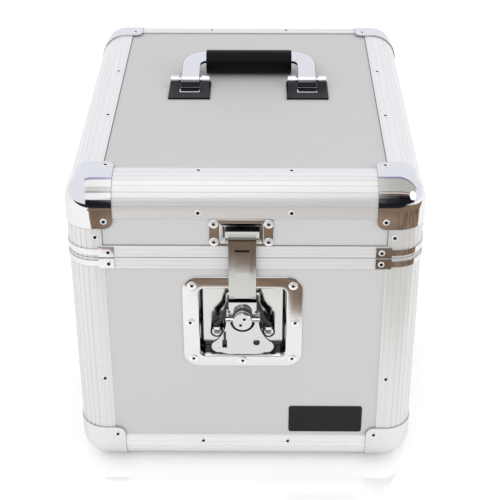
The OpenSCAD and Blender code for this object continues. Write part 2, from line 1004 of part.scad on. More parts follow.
module strap_leg() {
    rotate([lean, 0, 0])
    translate([0, 0, -strap_t / 2])
    linear_extrude(strap_t)
    polygon(concat([
        [eye_in, 0],
        [eye_out, 0],
        [eye_out, leg_straight]
    ], leg_outer, [
        [leg_out, leg_run + leg_over],
        [leg_tab_in, leg_run + leg_over],
        [leg_tab_in, leg_run - leg_tab_h],
        [leg_in, leg_run - leg_tab_h]
    ], leg_inner, [
        [eye_in, leg_straight]
    ]));
}

module strap_body() {
    // the plate, the step behind it and the hook head
    translate([-strap_w / 2, strap_low - hinge_y, strap_off - hinge_z])
    cube([strap_w, strap_top - strap_low, strap_t]);
    translate([-strap_w / 2, hook_low - hinge_y, hook_back - hinge_z])
    cube([strap_w, strap_top - hook_low, strap_off + strap_t - hook_back]);
    translate([-hook_w / 2, hook_low - hinge_y, hook_back - hinge_z])
    cube([hook_w, hook_h, strap_t]);
    translate([0, emboss_mid - hinge_y, strap_off + strap_t - hinge_z - cut])
    linear_extrude(emboss_t + cut)
    rounded_rect(emboss_w, emboss_h, emboss_r);
}
emboss_drop = 28.2;
emboss_mid = strap_top - emboss_drop;
emboss_w = 18;
emboss_h = 25;
emboss_r = 2;

// The key plate's outline, hinge axis along x through the origin, plate towards -y
bottom_half = 14;
bottom_rise = 2.2;
bottom_wide = 22;

module key_outline() {
    difference() {
        union() {
            difference() {
                polygon([
                    [-shoulder_half, 0],
                    [shoulder_half, 0],
                    [lobe_x + lobe_r, -lobe_drop],
                    [bottom_wide, bottom_rise - key_len],
                    [bottom_half, -key_len],
                    [-bottom_half, -key_len],
                    [-bottom_wide, bottom_rise - key_len],
                    [-lobe_x - lobe_r, -lobe_drop]
                ]);
                for (s = signs)
                    translate([s * (shoulder_half + flare_r), -cut])
                    circle(flare_r, $fn = 128);
            }
            for (s = signs)
                translate([s * lobe_x, -lobe_drop])
                circle(lobe_r);
        }
        circle(notch_r);
        translate([staple_x - staple_slot_w / 2, -staple_drop - staple_slot_h / 2])
        square([staple_slot_w, staple_slot_h]);
        translate([padlock_x, -padlock_drop])
        circle(padlock_r);
    }
}

// ---- keeper ----

mouth_w = 43;
mouth_h = 22.6;
mouth_drop = 0.8;
pocket_w = 35;
pocket_h = 12.6;
pocket_drop = 0.4;

// The keeper's pocket as a frustum, grown by a wall
module pocket(grow, floor_z, mouth_z) {
    sliver = 0.01;
    hull() {
        translate([keeper_dx, keeper_rise - mouth_drop, mouth_z + sliver / 2])
        cube([mouth_w + 2 * grow, mouth_h + 2 * grow, sliver], center = true);
        translate([keeper_dx, keeper_rise - pocket_drop, floor_z + sliver / 2])
        cube([pocket_w + 2 * grow, pocket_h + 2 * grow, sliver], center = true);
    }
}

keeper_corner_r = 2.5;
keeper_hole = sheet_t + cutout_fit;
keeper_face = dish_seat;

// ---- handle ----

seat_gap = 0.3;
handle_rest = asin((grip_r + seat_gap - pivot_h) / grip_u);
window_w = 20;
window_low = -20;
window_len = 11;
ear_gap = 2.25;
ear_in = arm_w / 2 + ear_gap;
bail_start = 3.2;
inner_edge = bail_reach - arm_w;
arm_out = bracket_x + arm_w / 2;
arm_in = bracket_x - arm_w / 2;
bracket_rivet_x = 16;
bracket_rivet_y = -30;

module at_brackets() {
    for (s = signs)
        translate([s * bracket_x, 0, 0])
        children();
}

module bail_outline() {
    difference() {
        translate([0, bail_reach / 2])
        intersection() {
            translate([0, -bail_reach / 2])
            rounded_rect(2 * arm_out, 2 * bail_reach, bail_corner_r);
            translate([-arm_out - cut, bail_start - bail_reach / 2])
            square([2 * (arm_out + cut), bail_reach]);
        }
        rounded_rect(2 * arm_in, 2 * inner_edge, bail_inner_r);
    }
}

bracket_spots = [for (b = signs, s = signs)
    [handle_x + b * bracket_x + s * bracket_rivet_x, handle_y + bracket_rivet_y, 0]];

// Countersunk, ground flush with the bracket
module flush_rivet() {
    translate([0, 0, case_h - rivet_reach])
    cylinder(r = rivet_r, h = rivet_reach - panel_face + bracket_t);
}

// ======== the pieces ========

module base_panel() {
    color(laminate)
    placed()
    difference() {
        on_bottom()
        flat_panel();
        for_feet()
        cylinder(r = foot_screw_r + rivet_fit, h = panel_back);
    }
}

module for_feet() {
    four_corners()
    translate([foot_inset - half_w, foot_inset - half_d, 0])
    children();
}

module front_panel() {
    color(laminate)
    placed()
    difference() {
        on_front()
        body_panel(half_w, edge_rivet_x);
        at_latch() {
            translate([0, 0, -panel_back - cut])
            linear_extrude(panel_t + 2 * cut)
            recess_outline(sheet_t + cutout_fit);
            holes_at(dish_spots);
        }
    }
}

module back_panel() {
    color(laminate)
    placed()
    on_back()
    body_panel(half_w, edge_rivet_x, body_leaf_spots);
}

module left_panel() {
    color(laminate)
    placed()
    on_left()
    body_panel(half_d, edge_rivet_y);
}

module right_panel() {
    color(laminate)
    placed()
    on_right()
    body_panel(half_d, edge_rivet_y);
}

module base_edge_front() {
    color(aluminium)
    placed()
    front_base_edge();
}

module base_edge_back() {
    color(aluminium)
    placed()
    mirror([0, 1, 0])
    front_base_edge();
}

module base_edge_left() {
    color(aluminium)
    placed()
    left_base_edge();
}

module base_edge_right() {
    color(aluminium)
    placed()
    mirror([1, 0, 0])
    left_base_edge();
}

module body_post_front_left() {
    color(aluminium)
    placed()
    body_post();
}

module body_post_front_right() {
    color(aluminium)
    placed()
    mirror([1, 0, 0])
    body_post();
}

module body_post_back_left() {
    color(aluminium)
    placed()
    mirror([0, 1, 0])
    body_post();
}

module body_post_back_right() {
    color(aluminium)
    placed()
    mirror([1, 0, 0])
    mirror([0, 1, 0])
    body_post();
}

module body_rim_front() {
    color(aluminium)
    placed()
    front_rim(body_clip_spots(half_w))
    body_rim_section();
}

module body_rim_back() {
    color(aluminium)
    placed()
    back_rim(concat(body_clip_spots(half_w), body_leaf_spots))
    body_rim_section();
}

module body_rim_left() {
    color(aluminium)
    placed()
    left_rim(body_clip_spots(half_d))
    body_rim_section();
}

module body_rim_right() {
    color(aluminium)
    placed()
    right_rim(body_clip_spots(half_d))
    body_rim_section();
}

module base_ball_corners() {
    color(chrome)
    placed()
    four_corners()
    base_corner();
}

module body_rim_clips() {
    color(chrome)
    placed()
    four_corners()
    rim_clip(body_clip_h);
}

foot_head_gap = 0.6;

module rubber_feet() {
    color(rubber)
    for_feet_placed()
    difference() {
        cylinder(r = foot_r, h = floor_gap + panel_face);
        translate([0, 0, -cut])
        cylinder(r = foot_screw_r + rivet_fit, h = floor_gap + panel_face + 2 * cut);
        translate([0, 0, -cut])
        cylinder(r = foot_recess_r, h = cut + foot_head_gap + foot_head_h);
    }
}

module for_feet_placed() {
    translate([0, shift_y, 0])
    for_feet()
    children();
}

module foot_screws() {
    color(chrome)
    for_feet_placed()
    translate([0, 0, foot_head_gap]) {
        cylinder(r = foot_head_r, h = foot_head_h);
        cylinder(r = foot_screw_r, h = floor_gap + panel_back - foot_head_gap - 2 * rivet_fit);
    }
}

module body_rivets() {
    color(chrome)
    placed() {
        on_front()
        rivets_at(body_face_spots(half_w, edge_rivet_x));
        on_back()
        rivets_at(concat(body_face_spots(half_w, edge_rivet_x), body_leaf_spots));
        on_left()
        rivets_at(body_face_spots(half_d, edge_rivet_y));
        on_right()
        rivets_at(body_face_spots(half_d, edge_rivet_y));
        on_bottom()
        rivets_at(flat_spots);
        at_latch()
        rivets_at(dish_spots, large_head_r);
    }
}

module latch_dish() {
    color(chrome)
    placed()
    at_latch()
    difference() {
        union() {
            translate([0, 0, -panel_face])
            linear_extrude(sheet_t)
            dish_flange();
            translate([0, 0, recess_floor - sheet_t])
            linear_extrude(recess_depth + sheet_t - panel_face + sheet_t / 2)
            recess_outline(sheet_t);
        }
        translate([0, 0, recess_floor])
        linear_extrude(recess_depth + cut)
        recess_outline(0);
        translate([0, 0, recess_floor - 2 * sheet_t])
        cylinder(r = stud_r + pin_fit, h = 3 * sheet_t);
        holes_at(dish_spots);
    }
}

module hinge_body_leaves() {
    color(chrome)
    placed()
    at_hinges()
    leaf(body_leaf_h, body_rim_h,
        [[-hinge_half, -knuckle_split], [knuckle_split, hinge_half]],
        [leaf_rim_rivet, leaf_low_rivet]);
}

pin_head_t = 1.5;
pin_head_r = 3.2;

module hinge_pins() {
    color(chrome)
    placed()
    at_hinges() {
        x_cylinder(hinge_pin_r, 2 * (hinge_half + slide_gap));
        for (s = signs)
            translate([s * (hinge_half + slide_gap + pin_head_t / 2), 0, 0])
            x_cylinder(pin_head_r, pin_head_t);
    }
}

module base_pad() {
    color(foam)
    placed()
    translate([0, 0, wall_t + pad_fit])
    foam_pad();
}

// Four slabs, one along each wall
module wall_lining() {
    low = pad_back + pad_fit;
    color(foam)
    placed()
    difference() {
        union() {
            for (s = signs) {
                translate([0, s * (half_d - pad_back + pad_t / 2), (low + lining_top) / 2])
                cube([case_w - 2 * lining_in, pad_t, lining_top - low], center = true);
                translate([s * (half_w - pad_back + pad_t / 2), 0, (low + lining_top) / 2])
                cube([pad_t, case_d - 2 * lining_in, lining_top - low], center = true);
            }
        }
        at_latch()
        translate([0, 0, -2 * pad_back])
        linear_extrude(2 * pad_back)
        recess_outline(sheet_t + 3 * cutout_fit);
    }
}

badge_corner_r = 3;

module badge_plate() {
    color([0.1, 0.1, 0.1])
    placed()
    on_front()
    translate([half_w - badge_inset, badge_z, -panel_face])
    linear_extrude(badge_t)
    rounded_rect(badge_w, badge_h, badge_corner_r);
}

module lid_top_panel() {
    color(laminate)
    placed()
    difference() {
        on_top()
        flat_panel();
        for (p = bracket_spots)
            translate([p[0], p[1], case_h - rivet_reach - 2 * rivet_fit])
            cylinder(r = rivet_r + rivet_fit, h = rivet_reach);
    }
}

module lid_front_panel() {
    color(laminate)
    placed()
    difference() {
        on_front()
        lid_panel(half_w, edge_rivet_x);
        at_latch() {
            translate([keeper_dx, keeper_rise - mouth_drop, -panel_face - panel_t / 2])
            cube([mouth_w + 2 * keeper_hole, mouth_h + 2 * keeper_hole, panel_t + 2 * cut], center = true);
            holes_at(keeper_spots);
        }
    }
}

module lid_back_panel() {
    color(laminate)
    placed()
    on_back()
    lid_panel(half_w, edge_rivet_x, lid_leaf_spots);
}

module lid_left_panel() {
    color(laminate)
    placed()
    on_left()
    lid_panel(half_d, edge_rivet_y);
}

module lid_right_panel() {
    color(laminate)
    placed()
    on_right()
    lid_panel(half_d, edge_rivet_y);
}

module lid_edge_front() {
    color(aluminium)
    placed()
    flipped_to_lid()
    front_base_edge();
}

module lid_edge_back() {
    color(aluminium)
    placed()
    flipped_to_lid()
    mirror([0, 1, 0])
    front_base_edge();
}

module lid_edge_left() {
    color(aluminium)
    placed()
    flipped_to_lid()
    left_base_edge();
}

module lid_edge_right() {
    color(aluminium)
    placed()
    flipped_to_lid()
    mirror([1, 0, 0])
    left_base_edge();
}

module lid_posts() {
    color(aluminium)
    placed()
    four_corners()
    lid_post();
}

module lid_rim_front() {
    color(aluminium)
    placed()
    front_rim(lid_clip_spots(half_w))
    lid_rim_section();
}

module lid_rim_back() {
    color(aluminium)
    placed()
    back_rim(concat(lid_clip_spots(half_w), lid_leaf_spots))
    lid_rim_section();
}

module lid_rim_left() {
    color(aluminium)
    placed()
    left_rim(lid_clip_spots(half_d))
    lid_rim_section();
}

module lid_rim_right() {
    color(aluminium)
    placed()
    right_rim(lid_clip_spots(half_d))
    lid_rim_section();
}

module lid_ball_corners() {
    color(chrome)
    placed()
    flipped_to_lid()
    four_corners()
    base_corner();
}

module lid_rim_clips() {
    color(chrome)
    placed()
    four_corners()
    rim_clip(lid_clip_h);
}

module lid_rivets() {
    color(chrome)
    placed() {
        on_front()
        rivets_at(lid_face_spots(half_w, edge_rivet_x));
        on_back()
        rivets_at(concat(lid_face_spots(half_w, edge_rivet_x), lid_leaf_spots));
        on_left()
        rivets_at(lid_face_spots(half_d, edge_rivet_y));
        on_right()
        rivets_at(lid_face_spots(half_d, edge_rivet_y));
        on_top()
        rivets_at(flat_spots);
        at_latch()
        rivets_at(keeper_spots, large_head_r);
        for (p = bracket_spots)
            translate([p[0], p[1], 0])
            flush_rivet();
    }
}

module keeper_plate() {
    color(chrome)
    placed()
    at_latch()
    difference() {
        union() {
            translate([keeper_dx, keeper_rise, -panel_face])
            linear_extrude(sheet_t)
            rounded_rect(keeper_w, keeper_h, keeper_corner_r);
            pocket(sheet_t, keeper_face - pocket_depth - sheet_t, -panel_face);
        }
        pocket(0, keeper_face - pocket_depth, keeper_face);
        holes_at(keeper_spots);
    }
}

module handle_brackets() {
    color([0.45, 0.48, 0.52])
    placed()
    at_handle()
    at_brackets()
    difference() {
        union() {
            translate([-bracket_w / 2, -bracket_front, 0])
            cube([bracket_w, bracket_front + bracket_back, bracket_t]);
            for (s = signs)
                translate([s * (ear_in + ear_w / 2), 0, pivot_h]) {
                    x_cylinder(ear_r, ear_w);
                    translate([-ear_w / 2, -ear_r, -pivot_h])
                    cube([ear_w, 2 * ear_r, pivot_h]);
                }
        }
        translate([-window_w / 2, window_low, -cut])
        cube([window_w, window_len, bracket_t + 2 * cut]);
        translate([0, 0, pivot_h])
        x_cylinder(handle_pin_r + pin_fit, 2 * bracket_w);
        for (s = signs)
            translate([s * bracket_rivet_x, bracket_rivet_y, -cut])
            cylinder(r = rivet_r + rivet_fit, h = bracket_t + 2 * cut);
    }
}

module handle_pins() {
    color(chrome)
    placed()
    at_handle()
    at_brackets()
    translate([0, 0, pivot_h])
    x_cylinder(handle_pin_r, 2 * (ear_in + ear_w) + 2 * pin_overhang);
}

module hinge_lid_leaves() {
    color(chrome)
    placed()
    at_hinges()
    mirror([0, 0, 1])
    leaf(lid_leaf_h, lid_rim_h, [[-lid_knuckle_half, lid_knuckle_half]],
        [leaf_rim_rivet, leaf_low_rivet + cut]);
}

module lid_pad() {
    color(foam)
    placed()
    translate([0, 0, case_h - pad_back])
    foam_pad();
}

module on_handle_pivot() {
    placed()
    at_handle()
    translate([0, 0, pivot_h])
    rotate([handle_rest, 0, 0])
    children();
}

module handle_bail() {
    color(chrome)
    on_handle_pivot()
    difference() {
        union() {
            translate([0, 0, -bail_t / 2])
            linear_extrude(bail_t)
            bail_outline();
            at_brackets()
            x_cylinder(bail_knuckle_r, arm_w);
        }
        at_brackets()
        x_cylinder(handle_pin_r + pin_fit, 2 * arm_w);
    }
}

module handle_grip() {
    color(rubber)
    on_handle_pivot()
    difference() {
        translate([0, grip_u, 0])
        x_cylinder(grip_r, grip_len);
        translate([-grip_len, inner_edge - pin_fit, -bail_t / 2 - pin_fit])
        cube([2 * grip_len, 2 * grip_r, bail_t + 2 * pin_fit]);
    }
}

ring_r = 10;
ring_h = 1.4;
pin_band_r = 9.6;
neck_r = 8.4;
neck_h = 0.8;
stud_head_h = 2.2;
retainer_r = 15.2;
retainer_h = 1.2;
spanner_r = 1.6;
spanner_at = 4;
spanner_turn = 62;

module latch_stud() {
    below = recess_floor - sheet_t - 2 * rivet_fit;
    hub_top = slider_bottom + cam_t + slide_gap;
    band_low = front_plate_front + ring_h + neck_h;
    head_low = stud_top - stud_head_h;
    color(chrome)
    placed()
    at_latch()
    difference() {
        rotate_extrude()
        polygon([
            [0, below - sheet_t],
            [collar_r, below - sheet_t],
            [collar_r, below],
            [stud_r, below],
            [stud_r, hub_top],
            [retainer_r, hub_top],
            [retainer_r, hub_top + retainer_h],
            [spool_r, hub_top + retainer_h],
            [spool_r, front_plate_front + slide_gap],
            [ring_r, front_plate_front + slide_gap],
            [ring_r, front_plate_front + ring_h],
            [neck_r, front_plate_front + ring_h],
            [neck_r, band_low],
            [pin_band_r, band_low],
            [pin_band_r, head_low - neck_h],
            [neck_r, head_low - neck_h],
            [neck_r, head_low],
            [stud_head_r, head_low],
            [stud_head_r, stud_top - head_chamfer],
            [stud_head_r - head_chamfer, stud_top],
            [0, stud_top]
        ]);
        translate([0, 0, key_hinge_h])
        x_cylinder(key_pin_r + pin_fit, 4 * stud_head_r);
        for (s = signs)
            rotate(spanner_turn)
            translate([s * spanner_at, 0, stud_top - spanner_r])
            cylinder(r = spanner_r, h = 2 * spanner_r);
    }
}

module latch_cam() {
    color(chrome)
    placed()
    at_latch()
    translate([0, 0, slider_bottom])
    difference() {
        translate([0, -cam_throw, 0])
        cylinder(r = cam_r, h = cam_t);
        translate([0, 0, -cut])
        cylinder(r = stud_r + pin_fit, h = cam_t + 2 * cut);
    }
}

barrel_in = 12.4;
barrel_out = 16.6;

module key_pin() {
    color(chrome)
    placed()
    at_latch()
    translate([0, 0, key_hinge_h])
    x_cylinder(key_pin_r, 2 * (barrel_out + 2 * pin_overhang));
}

module key_plate() {
    color(chrome)
    placed()
    at_latch()
    translate([0, 0, key_hinge_h])
    difference() {
        union() {
            translate([0, 0, -key_t / 2])
            linear_extrude(key_t)
            key_outline();
            for (s = signs)
                translate([s * (barrel_in + barrel_out) / 2, 0, 0])
                x_cylinder(barrel_r, barrel_out - barrel_in);
        }
        x_cylinder(key_pin_r + pin_fit, 4 * shoulder_half);
    }
}

module latch_slider() {
    color(chrome)
    placed()
    at_latch()
    difference() {
        union() {
            translate([0, 0, slider_bottom])
            linear_extrude(slider_t)
            slider_outline();
            translate([-front_plate_half, slider_high - slider_t, slider_bottom])
            cube([2 * front_plate_half, slider_t, front_plate_front - slider_bottom]);
            translate([-front_plate_half, front_plate_low, front_plate_back])
            cube([2 * front_plate_half, slider_high - front_plate_low, front_plate_front - front_plate_back]);
            translate([staple_x - staple_t / 2, -staple_drop - staple_slot_h / 2 + cut, slider_bottom])
            cube([staple_t, staple_slot_h - 2 * cut, staple_top - slider_bottom]);
            pivot_posts();
        }
        translate([-cam_slot_half, -cam_throw - cam_r - cam_play, slider_bottom - cut])
        cube([2 * cam_slot_half, 2 * (cam_r + cam_play), slider_t + 2 * cut]);
        cylinder(r = stud_notch_r, h = 2 * front_plate_front);
        clevis_cuts();
    }
}

module latch_strap() {
    color(chrome)
    placed()
    at_latch()
    translate([0, hinge_y, hinge_z])
    rotate([strap_rest_tilt, 0, 0])
    difference() {
        union() {
            strap_body();
            both_sides()
            strap_leg();
            for (s = signs)
                translate([s * post_x, 0, 0])
                x_cylinder(eye_r, eye_w);
        }
        x_cylinder(strap_pin_r + pin_fit, 4 * post_x);
    }
}

module strap_pins() {
    color(chrome)
    placed()
    at_latch()
    for (s = signs)
        translate([s * post_x, -post_drop, -strap_pin_depth])
        x_cylinder(strap_pin_r, 2 * (post_r + pin_overhang));
}

base_panel();
front_panel();
back_panel();
left_panel();
right_panel();
base_edge_front();
base_edge_back();
base_edge_left();
base_edge_right();
body_post_front_left();
body_post_front_right();
body_post_back_left();
body_post_back_right();
body_rim_front();
body_rim_back();
body_rim_left();
body_rim_right();
base_ball_corners();
body_rim_clips();
rubber_feet();
foot_screws();
body_rivets();
latch_dish();
hinge_body_leaves();
hinge_pins();
base_pad();
wall_lining();
badge_plate();
lid_top_panel();
lid_front_panel();
lid_back_panel();
lid_left_panel();
lid_right_panel();
lid_edge_front();
lid_edge_back();
lid_edge_left();
lid_edge_right();
lid_posts();
lid_rim_front();
lid_rim_back();
lid_rim_left();
lid_rim_right();
lid_ball_corners();
lid_rim_clips();
lid_rivets();
keeper_plate();
handle_brackets();
handle_pins();
hinge_lid_leaves();
lid_pad();
handle_bail();
handle_grip();
latch_stud();
latch_cam();
key_pin();
key_plate();
latch_slider();
latch_strap();
strap_pins();
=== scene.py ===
"""Looks for the record carrying case: finishes, rivets, pressed sheet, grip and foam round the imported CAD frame."""

import logging
import math
from dataclasses import dataclass, field
from enum import Enum
from typing import Callable, Iterable, Sequence

import bmesh
import bpy
import numpy as np
from mathutils import Matrix, Vector


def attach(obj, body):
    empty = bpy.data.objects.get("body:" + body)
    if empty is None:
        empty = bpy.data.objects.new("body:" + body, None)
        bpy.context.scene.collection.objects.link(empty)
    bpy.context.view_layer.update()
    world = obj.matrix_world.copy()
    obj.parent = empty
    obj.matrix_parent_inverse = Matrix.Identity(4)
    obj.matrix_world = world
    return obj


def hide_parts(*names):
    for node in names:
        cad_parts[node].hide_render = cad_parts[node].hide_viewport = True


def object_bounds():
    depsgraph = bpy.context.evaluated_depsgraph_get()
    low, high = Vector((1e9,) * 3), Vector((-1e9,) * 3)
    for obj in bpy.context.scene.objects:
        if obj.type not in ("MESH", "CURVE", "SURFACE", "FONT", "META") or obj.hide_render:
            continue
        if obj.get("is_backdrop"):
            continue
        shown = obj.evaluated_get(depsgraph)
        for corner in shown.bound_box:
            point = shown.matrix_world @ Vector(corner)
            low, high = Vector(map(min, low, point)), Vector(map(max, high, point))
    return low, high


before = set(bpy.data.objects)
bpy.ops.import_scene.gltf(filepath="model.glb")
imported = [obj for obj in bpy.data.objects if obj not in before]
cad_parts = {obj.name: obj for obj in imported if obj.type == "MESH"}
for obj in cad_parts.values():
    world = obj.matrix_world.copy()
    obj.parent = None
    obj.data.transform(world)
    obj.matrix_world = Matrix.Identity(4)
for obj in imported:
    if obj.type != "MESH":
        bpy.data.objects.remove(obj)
cad_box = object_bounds()

log = logging.getLogger("record_case")
logging.basicConfig(level=logging.INFO, format="%(message)s")

Loop = list[Vector]
Colour = tuple[float, float, float]
Place = Callable[[float, float], Vector]
Place3 = Callable[[float, float, float], Vector]
Socket = bpy.types.NodeSocket
Tree = bpy.types.NodeTree

MM = 0.001
MERGE = 1e-6

# The case and the latch's recess, in millimetres, as in the CAD source
CASE_W = 354.0
CASE_D = 431.0
CASE_H = 342.0
FLOOR_GAP = 3.0
SHIFT_Y = 1.5
PARTING = 261.0
FRONT_Y = SHIFT_Y - CASE_D / 2
LATCH_X = -2.5
STUD_Z = 192.6 + FLOOR_GAP
WALL_T = 10.2
RECESS_W = 86.5
RECESS_H = 80.0
RECESS_DROP = 9.0


class Grain(Enum):
    """Direction in which a finish is stretched, as factors for object coordinates."""

    EVEN = (1.0, 1.0, 1.0)
    ALONG_X = (0.02, 1.0, 1.0)
    ALONG_Y = (1.0, 0.02, 1.0)
    ALONG_Z = (1.0, 1.0, 0.02)


class Side(Enum):
    """Outward directions of the case's faces."""

    FRONT = (0.0, -1.0, 0.0)
    BACK = (0.0, 1.0, 0.0)
    LEFT = (-1.0, 0.0, 0.0)
    RIGHT = (1.0, 0.0, 0.0)
    TOP = (0.0, 0.0, 1.0)
    BOTTOM = (0.0, 0.0, -1.0)


# ---- shader nodes ----


def fill(tree: Tree, node: bpy.types.Node, inputs: dict[str | int, object]) -> None:
    """Sets or links a node's inputs.

    Args:
        tree: The node tree.
        node: The node.
        inputs: A socket or a plain value for each input, by name or number.
    """
    for key, value in inputs.items():
        if isinstance(value, Socket):
            tree.links.new(value, node.inputs[key])
        else:
            node.inputs[key].default_value = value


def put(tree: Tree, kind: str, inputs: dict[str | int, object]) -> bpy.types.Node:
    """Adds a node and fills its inputs.

    Args:
        tree: The node tree.
        kind: Blender's name of the node's type.
        inputs: A socket or a plain value for each input, by name or number.

    Returns:
        The node.
    """
    node = tree.nodes.new(kind)
    fill(tree, node, inputs)
    return node


def maths(tree: Tree, operation: str, *values: Socket | float) -> Socket:
    """Adds a maths node.

    Args:
        tree: The node tree.
        operation: Blender's name of the operation.
        values: A socket or a number for each input, in order.

    Returns:
        The node's result.
    """
    node = put(tree, "ShaderNodeMath", dict(enumerate(values)))
    node.operation = operation
    return node.outputs["Value"]


def mixed(tree: Tree, factor: Socket, first: Socket | Colour, second: Socket | Colour) -> Socket:
    """Adds a node that mixes two colours.

    Args:
        tree: The node tree.
        factor: How much of the second colour shows.
        first: The first colour.
        second: The second colour.

    Returns:
        The mixed colour.
    """
    node = tree.nodes.new("ShaderNodeMix")
    node.data_type = "RGBA"
    one, other = (value if isinstance(value, Socket) else (*value, 1.0) for value in (first, second))
    fill(tree, node, {"Factor": factor, "A": one, "B": other})
    return node.outputs["Result"]


def new_material(name: str) -> tuple[bpy.types.Material, Tree, bpy.types.Node]:
    """Makes a material with the plain shader.

    Args:
        name: The material's name.

    Returns:
        The material, its node tree and the shader.
    """
    material = bpy.data.materials.new(name)
    material.use_nodes = True
    return material, material.node_tree, material.node_tree.nodes["Principled BSDF"]


# ---- finishes ----


class GrainGroup:
    """The shared node group for small changes of colour, gloss and height over a surface."""

    NAME = "surface_grain"
    INPUTS = (("Scale", 60.0), ("Spread", 0.1), ("Gloss", 0.3), ("Gloss Spread", 0.05), ("Smudge", 0.0))
    OUTPUTS = (("Colour", "NodeSocketColor"), ("Roughness", "NodeSocketFloat"), ("Height", "NodeSocketFloat"))
    BROAD_SCALE = 0.06
    FINE_DETAIL = 4.0
    BROAD_DETAIL = 2.0
    NOISE_MIDDLE = 0.5

    @classmethod
    def tree(cls) -> Tree:
        """Builds the group once and returns it.

        Returns:
            The node group, with masks made from two sizes of noise.
        """
        found = bpy.data.node_groups.get(cls.NAME)
        if found:
            return found
        group = bpy.data.node_groups.new(cls.NAME, "ShaderNodeTree")
        socket = group.interface.new_socket
        socket("Vector", in_out="INPUT", socket_type="NodeSocketVector")
        for name, value in cls.INPUTS:
            socket(name, in_out="INPUT", socket_type="NodeSocketFloat").default_value = value
        socket("Colour", in_out="INPUT", socket_type="NodeSocketColor")
        for name, kind in cls.OUTPUTS:
            socket(name, in_out="OUTPUT", socket_type=kind)
        given = group.nodes.new("NodeGroupInput").outputs
        sizes = ((given["Scale"], cls.FINE_DETAIL),
                 (maths(group, "MULTIPLY", given["Scale"], cls.BROAD_SCALE), cls.BROAD_DETAIL))
        fine, broad = (
            put(group, "ShaderNodeTexNoise", {"Vector": given["Vector"], "Scale": scale, "Detail": detail})
            for scale, detail in sizes)
        centred, centred_broad = (maths(group, "SUBTRACT", noise.outputs["Fac"], cls.NOISE_MIDDLE)
                                  for noise in (fine, broad))
        change = maths(group, "MULTIPLY", maths(group, "ADD", centred, centred_broad), given["Spread"])
        tint = group.nodes.new("ShaderNodeVectorMath")
        tint.operation = "SCALE"
        fill(group, tint, {0: given["Colour"], "Scale": maths(group, "ADD", change, 1.0)})
        gloss = maths(group, "ADD", given["Gloss"], maths(group, "MULTIPLY", centred, given["Gloss Spread"]))
        smudge = maths(group, "MULTIPLY", centred_broad, given["Smudge"])
        fill(group, group.nodes.new("NodeGroupOutput"), {
            "Colour": tint.outputs["Vector"], "Roughness": maths(group, "ADD", gloss, smudge),
            "Height": fine.outputs["Fac"]})
        return group


@dataclass(frozen=True)
class Finish:
    """A surface finish made from the shared grain group."""

    name: str
    colour: Colour
    metallic: float = 0.0
    gloss: float = 0.4
    gloss_spread: float = 0.05
    smudge: float = 0.0
    spread: float = 0.05
    scale: float = 300.0
    grain: Grain = Grain.EVEN
    bump: float = 0.0
    bump_strength: float = 0.5
    specular: float = 0.5
    sheen: float = 0.0

    def material(self) -> bpy.types.Material:
        """Makes this finish's material on first use.

        Returns:
            The material.
        """
        label = f"finish_{self.name}"
        found = bpy.data.materials.get(label)
        if found:
            return found
        material, tree, shader = new_material(label)
        place = tree.nodes.new("ShaderNodeTexCoord")
        stretch = put(tree, "ShaderNodeMapping", {"Vector": place.outputs["Object"], "Scale": self.grain.value})
        grain = tree.nodes.new("ShaderNodeGroup")
        grain.node_tree = GrainGroup.tree()
        fill(tree, grain, {
            "Vector": stretch.outputs["Vector"], "Scale": self.scale, "Spread": self.spread, "Gloss": self.gloss,
            "Gloss Spread": self.gloss_spread, "Smudge": self.smudge, "Colour": (*self.colour, 1.0)})
        fill(tree, shader, {
            "Base Color": grain.outputs["Colour"], "Roughness": grain.outputs["Roughness"],
            "Metallic": self.metallic, "Specular IOR Level": self.specular, "Sheen Weight": self.sheen})
        if self.bump:
            bump = put(tree, "ShaderNodeBump", {
                "Strength": self.bump_strength, "Distance": self.bump, "Height": grain.outputs["Height"]})
            tree.links.new(bump.outputs["Normal"], shader.inputs["Normal"])
        return material


def brushed(name: str, colour: Colour, metallic: float, gloss: float) -> dict[Grain, Finish]:
    """Brushed aluminium, with its streaks along each axis.

    Args:
        name: Start of the finishes' names.
        colour: The colour.
        metallic: How metallic it is.
        gloss: The roughness.

    Returns:
        One finish for each direction.
    """
    return {
        axis: Finish(f"{name}_{axis.name.lower()}", colour, metallic=metallic, gloss=gloss, gloss_spread=0.16,
                     smudge=0.04, spread=0.10, scale=900.0, grain=axis, bump=0.00001)
        for axis in (Grain.ALONG_X, Grain.ALONG_Y, Grain.ALONG_Z)
    }


LAMINATE = Finish("laminate_grey", (0.565, 0.565, 0.565), gloss=0.42, gloss_spread=0.08, spread=0.02, scale=900.0,
                  bump=0.00002, specular=0.35)
EDGE_ALUMINIUM = brushed("edge_aluminium", (0.85, 0.85, 0.85), 0.5, 0.33)
RIM_ALUMINIUM = brushed("rim_aluminium", (0.76, 0.76, 0.76), 0.25, 0.38)
POST_ALUMINIUM = brushed("post_aluminium", (0.73, 0.73, 0.72), 0.35, 0.34)
CHROME = Finish("bright_nickel", (0.84, 0.84, 0.85), metallic=1.0, gloss=0.07, smudge=0.06, spread=0.03, scale=700.0)
LATCH_NICKEL = Finish("latch_nickel", (0.70, 0.70, 0.705), metallic=1.0, gloss=0.10, smudge=0.08, spread=0.04,
                      scale=600.0)
SHEET_NICKEL = Finish("sheet_nickel", (0.84, 0.84, 0.83), metallic=1.0, gloss=0.12, gloss_spread=0.06, smudge=0.08,
                      spread=0.04, scale=500.0, bump=0.00001)
# A little darker than the sheet nickel of the same pressed dish: painted shade on the front of the recess floor.
RECESS_SHADED_NICKEL = Finish("recess_shaded_nickel", (0.73, 0.73, 0.71), metallic=1.0, gloss=0.14, gloss_spread=0.06, smudge=0.08,
                       scale=500.0, bump=0.00001)
STRAP_NICKEL = Finish("strap_nickel", (0.60, 0.605, 0.58), metallic=1.0, gloss=0.10, smudge=0.08, spread=0.06,
                      scale=500.0)
